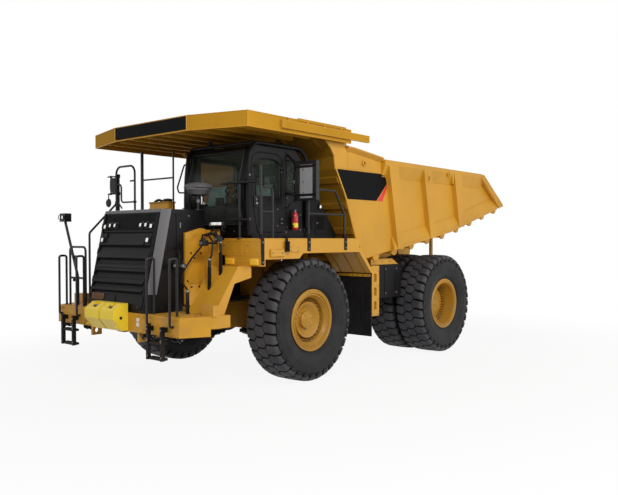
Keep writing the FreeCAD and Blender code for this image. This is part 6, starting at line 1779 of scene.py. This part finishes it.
# ---------- chassis below
def chassis_details():
    """Bolts, welds, brackets and hose runs of the frame, engine guard, axle and rear lights."""
    s = Shape(hose)
    s.bolts((-0.3, 0.3, 1.1, 1.6, -0.75), 0.55, (0.92, 1.22), ACROSS, 0.015, shaded)
    s.bolts((-2.1, -2.6, -3.6, -4.3, -4.8), 0.55, (1.5, 1.74), ACROSS, 0.014, shaded)
    for za, zb, xa, xb in ((1.296, 1.296, 2.1, -0.9), (0.852, 0.852, 2.1, -0.9), (1.828, 1.828, -1.8, -4.95),
            (1.402, 1.402, -1.8, -4.7)):
        bead(s, span((xa, xb), 0.549, (za, zb)), 0.006, 0.06, shaded)
    s.pipe([at(1.3, 0.585, 1.34), at(0.6, 0.585, 1.34), at(-0.9, 0.6, 1.34), at(-1.7, 0.6, 1.85),
        at(-2.1, 0.5, 1.86), at(-3.9, 0.5, 1.86)], 0.018, 8)
    s.pipe([at(1.3, 0.585, 1.385), at(0.6, 0.585, 1.385), at(-0.9, 0.62, 1.385), at(-1.6, 0.62, 1.86)],
        0.014, 8)
    for x in (1, 0.4, -0.4):
        s.box(at(x - 0.02, 0.548, 1.31), at(x + 0.02, 0.608, 1.41), black)
    # suspension housing: cap, ribs and foot bolts
    s.disc(at(0, 1.02, 2.302), UP, [(0, 0.155), (0.02, 0.158), (0.03, 0.14), (0.05, 0.1), (0.055, 0.05)], 32,
        yellow)
    for z in (1.42, 1.62, 1.84):
        s.disc(at(0, 1.02, z), UP, [(0, 0.151), (0.006, 0.16), (0.034, 0.16), (0.04, 0.151)], 36, yellow,
            False)
    for place in ring_places(at(0, 1.02, 1.3), UP, 0.148, 10, 0):
        s.bolt(place, (0, 0, -1), 0.01)
    # rear axle: rings and bolts of the brake housing, a brake line, the strut's bellows
    axle = behind(0, 0, axle_z)
    for y in (0.66, 0.8):
        s.disc(axle + vec(0, y, 0), ACROSS, [(0, 0.262), (0.008, 0.275), (0.05, 0.275), (0.058, 0.262)], 40,
            shaded, False)
    for place in ring_places(axle, ACROSS, 0.268, 20, 0.66):
        s.bolt(place, (0, -1, 0), 0.01)
    s.pipe([axle + vec(-0.2, 0.62, 0.18), axle + vec(-0.28, 0.5, 0.32), axle + vec(-0.3, 0.4, 0.42),
        axle + vec(-0.2, 0.44, 0.6)], 0.014, 8)
    for i in range(6):
        s.disc(behind(-0.5, 0.22, axle_z + 0.195 + 0.014 * i), UP, [(0, 0.078), (0.007, 0.094),
            (0.014, 0.078)], caps=False)
    for z in (1.3, 1.42):
        s.disc(behind(-0.5, 0.22, z), UP, [(0, 0.101), (0.004, 0.106), (0.016, 0.106), (0.02, 0.101)], 32,
            shaded, False)
    # tail lamps on their brackets below the body
    lamp = at(-5.02, 0.6, 1.66)
    s.box(lamp + vec(0, -0.16, -0.09), lamp + vec(0.05, 0.18, 0.09), black)
    for y, glass in ((-0.09, red_lens), (0, amber_lens), (0.1, clear_lens)):
        s.disc(lamp + vec(0, y, 0), (-1, 0, 0), [(0, 0.046), (0.012, 0.046), (0.016, 0.04)], 22, plastic)
        s.disc(lamp + vec(-0.012, y, 0), (-1, 0, 0), [(0, 0.039), (0.006, 0.036), (0.011, 0.024),
            (0.013, 0.006)], 22, glass)
    s.box(lamp + vec(-0.004, -0.14, -0.135), lamp + vec(0.004, 0.14, -0.105), red_lens)
    s.pipe([lamp + vec(0.05, 0, 0), lamp + vec(0.14, -0.05, 0.05), lamp + vec(0.3, -0.1, 0.1)], 0.009, 6)
    s.mirror()
    # differential's cover and bolts, alarm horn, drive shaft yokes
    for place in ring_places(axle, vec(-1, 0, 0), 0.3, 16, 0.3):
        s.bolt(place, (-1, 0, 0), 0.012, shaded)
    s.disc(axle, (-1, 0, 0), [(0.26, 0.335), (0.3, 0.335), (0.31, 0.28), (0.4, 0.16), (0.425, 0.06)], 40,
        shaded)
    s.disc(axle + vec(0.52, 0, 0), AHEAD, [(-0.08, 0.192), (-0.06, 0.21), (-0.01, 0.21), (0, 0.16)], 32,
        shaded)
    s.box(at(-5.022, -0.1, 1.6), at(-4.98, 0.1, 1.76), black)
    s.disc(at(-5.022, 0, 1.68), (-1, 0, 0), [(0, 0.062), (0.02, 0.062), (0.026, 0.05), (0.014, 0.02)],
        finish=plastic)
    for x in (-1, -2.4):
        s.disc(at(x, 0, 1.032), AHEAD, [(0, 0.08), (0.03, 0.1), (0.06, 0.08)], 20, shaded)
    # belly guard under the engine, its ribs and bolts, and the steering hoses
    guard = [(2.02, 0.9), (1.95, 0.79), (0.64, 0.76), (0.58, 0.84)]
    s.plate(guard, -0.46, 0.92, black)
    for y in (-0.4, -0.13, 0.13, 0.4):
        s.plate(((1.93, 0.795), (1.85, 0.755), (0.72, 0.73), (0.66, 0.765)), y - 0.012, 0.024, black)
        bolt_row(s, at(0.8, y + 0.06, 0.763), at(1.8, y + 0.06, 0.784), 4, (0, 0, -1), 0.012)
    for y, z, away in ((0.36, 0.805, 0.1), (0.3, 0.825, 0.16), (-0.33, 0.81, 0.12)):
        s.pipe([at(0.64, y, z), at(0.45, y + 0.03, z - 0.01), at(away + 0.12, 0.8 * y, z + 0.015),
            at(away, 0.6 * y, z + 0.045)], 0.018, 8)
    s.piece("chassis_fittings")


def steer_details():
    """Kingpin caps with their bolts, brake hoses and hub rings on the knuckles."""
    for side, sign in SIDES:
        s = Shape(shaded)
        s.disc(at(0, sign * 1.02, 0.686), (0, 0, -1), [(0, 0.1), (0.012, 0.1), (0.016, 0.085)], 28)
        for place in ring_places(at(0, sign * 1.02, 0.686), vec(0, 0, -1), 0.075, 6, 0.014):
            s.bolt(place, (0, 0, -1), 0.01)
        s.pipe([at(-0.1, sign * 0.9, 1.3), at(-0.2, sign * 0.95, 1.2), at(-0.2, sign * 1.12, 1.12),
            at(-0.12, sign * 1.22, 1.1)], 0.012, 8, hose)
        s.disc(at(0, sign * 1.235, axle_z), (0, sign, 0), [(0, 0.2), (0.05, 0.21), (0.055, 0.15)], 32)
        s.piece(f"knuckle_fittings_{side}", body=f"knuckle_{side}")


def hoist_details():
    """Gland rings and hose ports of the hoist rams."""
    for side, sign in SIDES:
        foot, top = at(-2.985, sign * 0.655, 0.777), at(-2.735, sign * 0.655, 2.011)
        line = (top - foot).normalized()
        for name, span, radius in ((f"hoist_barrel_{side}", 1.02, 0.096), (f"hoist_stage_{side}", 1.045,
                0.077)):
            s = Shape(shaded)
            s.disc(foot + line * (span - 0.05), line, [(0, radius), (0.004, radius + 0.008),
                (0.044, radius + 0.008), (0.048, radius)], 30, caps=False)
            if "barrel" in name:
                s.disc(foot + line * 0.16, line, [(0, radius), (0.004, radius + 0.012),
                    (0.03, radius + 0.012), (0.034, radius)], 30, caps=False)
                port = foot + line * 0.24 + vec(0.09, 0, 0.01)
                s.rod(port, port + vec(0.04, 0, 0), 0.02, 8, plated)
                s.pipe([port + vec(0.03, 0, 0), port + vec(0.08, -sign * 0.02, 0.03),
                    port + vec(0.1, -sign * 0.06, 0.14)], 0.016, 8, hose)
            s.piece(f"{name}_fittings", body=name)


def hood_details():
    """Hood seams, latches, louvres, the box lid and the black cap beside it."""
    s = Shape(black)
    top = high("hood").z
    s.box(at(1.475, -0.8, top - 0.001), at(1.885, 0.8, top + 0.006))
    s.box(at(0.4, -0.84, top - 0.001), at(1.42, 0.05, top + 0.005))
    for i in range(9):
        x = 0.5 + 0.06 * i
        s.plate([(x, top + 0.004), (x + 0.045, top + 0.004), (x + 0.03, top + 0.022)], -0.72, 0.62)
    for y in (-0.5, 0, 0.5):
        s.pipe(facing(1.55, [(y - 0.06, top), (y - 0.06, top + 0.04), (y + 0.06, top + 0.04),
            (y + 0.06, top)]), 0.008, 8)
    for x, y in product((0.55, 0.95, 1.35, 1.78), (-0.872, 0.872)):
        if y < 0 or x > 1.5:
            s.bolt(at(x, y, top - 0.1), (0, math.copysign(1, y), 0), 0.01)
    for i in range(7):
        z = 2.2 + 0.07 * i
        s.prism(facing(0.55, [(-0.87, z), (-0.892, z - 0.004), (-0.87, z + 0.045)]), (0.75, 0, 0))
    box_top = high("hood_box").z
    # box lid in the darkened copy of the machine yellow: painted shade
    s.box(at(1.07, -0.88, box_top - 0.02), at(1.25, -0.34, box_top + 0.008), shaded)
    s.disc(at(1.16, -0.45, box_top + 0.008), UP, [(0, 0.07), (0.03, 0.085), (0.045, 0.08), (0.055, 0.03)],
        finish=plastic)
    s.pipe([at(1.16, -0.6, box_top + 0.02), at(1.17, -0.7, box_top + 0.05), at(1.16, -0.82, box_top + 0.02),
        at(1.2, -0.92, top + 0.06)], 0.022, finish=hose)
    s.bolts(1.24, (-0.8, -0.6, -0.42), top + 0.05, AHEAD, 0.008)
    # rail joints: collars and foot plates of the posts on the hood and the right deck
    for y in (-1.05, -0.155):
        foot_plate(s, at(1.27, y, deck_z if y < -0.9 else top), UP, 0.028 if y < -0.9 else 0.016)
    for y in (-1.86, -1.275):
        foot_plate(s, at(1.27, y, deck_z), UP, 0.019)
        collar(s, at(1.27, y, 3.09), UP, 0.019)
    foot_plate(s, at(1.27, 1.5, deck_z), UP, 0.018)
    for z in (2.71, 3.3):
        collar(s, at(1.27, 1.5, z), UP, 0.018)
    grip = [(0.12, 3.68), (0.02, 3.685), (-0.17, 3.3), (-0.13, 3.21), (0.12, 3.2)]
    s.pipe(facing(1.17, grip), 0.014, finish=enamel_rail)
    # grey face of the wide mirror over the hood
    bowl = at(1.5, 0.78, 3.11)
    s.disc(bowl, UP, [(0.004, 0.132), (0.088, 0.1945), (0.092, 0.198), (0.104, 0.198), (0.12, 0.188)], 40,
        grey_plastic, False)
    levels = [(0.112, 0.19, 0.16), (0.125, 0.212, 0.18), (0.15, 0.212, 0.18), (0.185, 0.185, 0.15),
        (0.205, 0.13, 0.1)]
    s.loft([rounded_square(bowl + vec(0, 0, up), ACROSS, AHEAD, wide, deep, 0.09) for up, wide,
        deep in levels], grey_plastic)
    s.piece("hood_fittings", "black_paint")
    # marker lamp on the boarding gate's pole
    m = Shape(black)
    m.box(at(2.396, -1.73, 2.705), at(2.524, -1.54, 2.712), plastic)
    for y in (-1.68, -1.59):
        square_lamp(m, at(2.52, y, 2.78), AHEAD, 0.036)
    for z in (1.7, 2.1):
        collar(m, at(2.47, -1.33, z), UP, 0.023)
    m.piece("marker_lamp", "black_paint")


# ---------- finishes of the frame's own nodes
def finish_node(node, finish):
    """Gives a node its finish and smooth faces between its sharp edges."""
    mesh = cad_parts[node].data
    mesh.materials.clear()
    mesh.materials.append(finish)
    mesh.polygons.foreach_set("use_smooth", [True] * len(mesh.polygons))
    mesh.set_sharp_from_angle(angle=math.radians(32))


def frame_finishes():
    """Nodes by finish; a * stands for left and right."""
    for finish, names in (
            (yellow, "front_bumper deck_* stair_wings hood_box fenders"),
            # the underside, wall and canopy finishes here are darker copies of the machine yellow: painted
            # shade
            (shaded, "main_frame drive_line rear_axle rear_struts knuckle_* strut_housings rock_ejectors"),
            (painted_deep_shade, "dump_front_wall"),
            (enamel_body, "dump_side_* dump_floor hoist_barrel_*"),
            (canopy_shaded_enamel, "canopy"),
            (enamel_guard, "tow_block"),
            (enamel_rail, "handrails_* mirrors"),
            (black, "engine_block hood grille_shell radiator cab_shell cab_base cab_rear_box cab_door "
                "hanging_steps fuel_tank tie_rod steer_barrel_* hydraulic_tank"),
            (chrome, "steer_rod_* hoist_stage_* hoist_rod_*"),
            (flap_rubber, "mud_flaps"),
            (hose, "hose_lines"),
            (window_glass, "cab_glass door_window"),
            (seat_cloth, "seat"),
            (trim_plastic, "console")):
        for name in names.split():
            for node in {name.replace("*", side) for side in ("left", "right")}:
                finish_node(node, finish)


# ---------- stage
surround_strength = 0.29
floor_white = 0.9
floor_near, floor_far = 4.2, 9


def seen_rays(nodes, links):
    """1 for the rays that look at the backdrop: the camera's, and those off metal or through glass."""
    rays = nodes.new("ShaderNodeLightPath")
    first = nodes.new("ShaderNodeMath")
    second = nodes.new("ShaderNodeMath")
    first.operation = second.operation = "MAXIMUM"
    links.new(rays.outputs["Is Camera Ray"], first.inputs[0])
    links.new(rays.outputs["Is Glossy Ray"], first.inputs[1])
    links.new(first.outputs[0], second.inputs[0])
    links.new(rays.outputs["Is Transmission Ray"], second.inputs[1])
    return second.outputs[0]


def floor_and_backdrop():
    """Wide pale floor: it keeps the truck's soft shadow and turns to plain white further out."""
    f = Finish("studio_floor")
    f.surface(base_color=(0.62, 0.62, 0.61, 1), roughness=0.8, specular_ior_level=0.1)
    nodes, links = f.tree.nodes, f.tree.links
    white = nodes.new("ShaderNodeEmission")
    reach = f.node("ShaderNodeVectorMath", {"operation": "LENGTH"}, {0: f.stretched(0.8, 1, 1)}, out="Value")
    share = Link(f, seen_rays(nodes, links)) * reach.fade(floor_near, floor_far, floor_white, 1)
    mix = nodes.new("ShaderNodeMixShader")
    links.new(share.socket, mix.inputs[0])
    links.new(f.shader.outputs[0], mix.inputs[1])
    links.new(white.outputs[0], mix.inputs[2])
    links.new(mix.outputs[0], nodes["Material Output"].inputs["Surface"])
    mesh = bpy.data.meshes.new("floor")
    reach = 60
    mesh.from_pydata([(-reach, -reach, 0), (reach, -reach, 0), (reach, reach, 0), (-reach, reach, 0)], [],
        [(0, 1, 2, 3)])
    mesh.materials.append(f.material)
    floor = bpy.data.objects.new("floor", mesh)
    floor.location.x = (front_x + rear_x) / 2
    bpy.context.scene.collection.objects.link(floor)


def sky():
    """White studio surround, softer on the truck than where it is looked at."""
    world = bpy.data.worlds.new("studio")
    world.use_nodes = True
    bpy.context.scene.world = world
    nodes, links = world.node_tree.nodes, world.node_tree.links
    lit = nodes["Background"]
    lit.inputs["Color"].default_value = (1, 0.99, 0.97, 1)
    lit.inputs["Strength"].default_value = surround_strength
    seen = nodes.new("ShaderNodeBackground")
    seen.inputs["Color"].default_value = (1, 1, 1, 1)
    mix = nodes.new("ShaderNodeMixShader")
    links.new(seen_rays(nodes, links), mix.inputs[0])
    links.new(lit.outputs[0], mix.inputs[1])
    links.new(seen.outputs[0], mix.inputs[2])
    links.new(mix.outputs[0], nodes["World Output"].inputs["Surface"])


def softbox(name, place, target, size, power, tint=(1, 1, 1)):
    lamp = bpy.data.lights.new(name, "AREA")
    lamp.shape = "RECTANGLE"
    lamp.size, lamp.size_y = size
    lamp.energy = power
    lamp.color = tint
    thing = bpy.data.objects.new(name, lamp)
    thing.location = place
    thing.rotation_mode = "QUATERNION"
    thing.rotation_quaternion = (Vector(target) - Vector(place)).to_track_quat("-Z", "Y")
    bpy.context.scene.collection.objects.link(thing)


def lights():
    target = at(-2, 0, 1.8)
    softbox("key_light", at(7, 11, 9), target, (4, 4), 1000, (1, 0.98, 0.95))
    softbox("side_light", at(-6, 14, 5), target, (6, 4), 660)
    softbox("nose_light", at(13, -2, 4), target, (6, 5), 150)
    softbox("back_light", at(-14, -9, 9), target, (8, 6), 560)


def camera():
    """Eye-level view from ahead and to the left."""
    lens = bpy.data.cameras.new("camera")
    lens.sensor_width = 36
    lens.lens = 40.54
    lens.shift_x = -0.00146
    lens.shift_y = 0.01194
    lens.clip_end = 200
    thing = bpy.data.objects.new("camera", lens)
    thing.location = at(8.946, 9.518, 2.406)
    heading, tilt = -2.435, -0.023
    facing = vec(math.cos(tilt) * math.cos(heading), math.cos(tilt) * math.sin(heading), math.sin(tilt))
    thing.rotation_mode = "QUATERNION"
    thing.rotation_quaternion = facing.to_track_quat("-Z", "Y")
    bpy.context.scene.collection.objects.link(thing)
    bpy.context.scene.camera = thing


camera()
sky()
lights()
floor_and_backdrop()
frame_finishes()
tyres()
wheels()
nose()
cheeks()
bumper_details()
tow_block_details()
front_steps()
front_left()
cab_outside()
door_details()
seats()
dash()
cab_side_kit()
right_mirror()
side_welds()
side_stripes()
canopy_details()
body_inside()
under_body()
decks()
fender_details()
tank_details()
chassis_details()
steer_details()
hoist_details()
hood_details()
bpy.context.scene.view_settings.view_transform = "Standard"
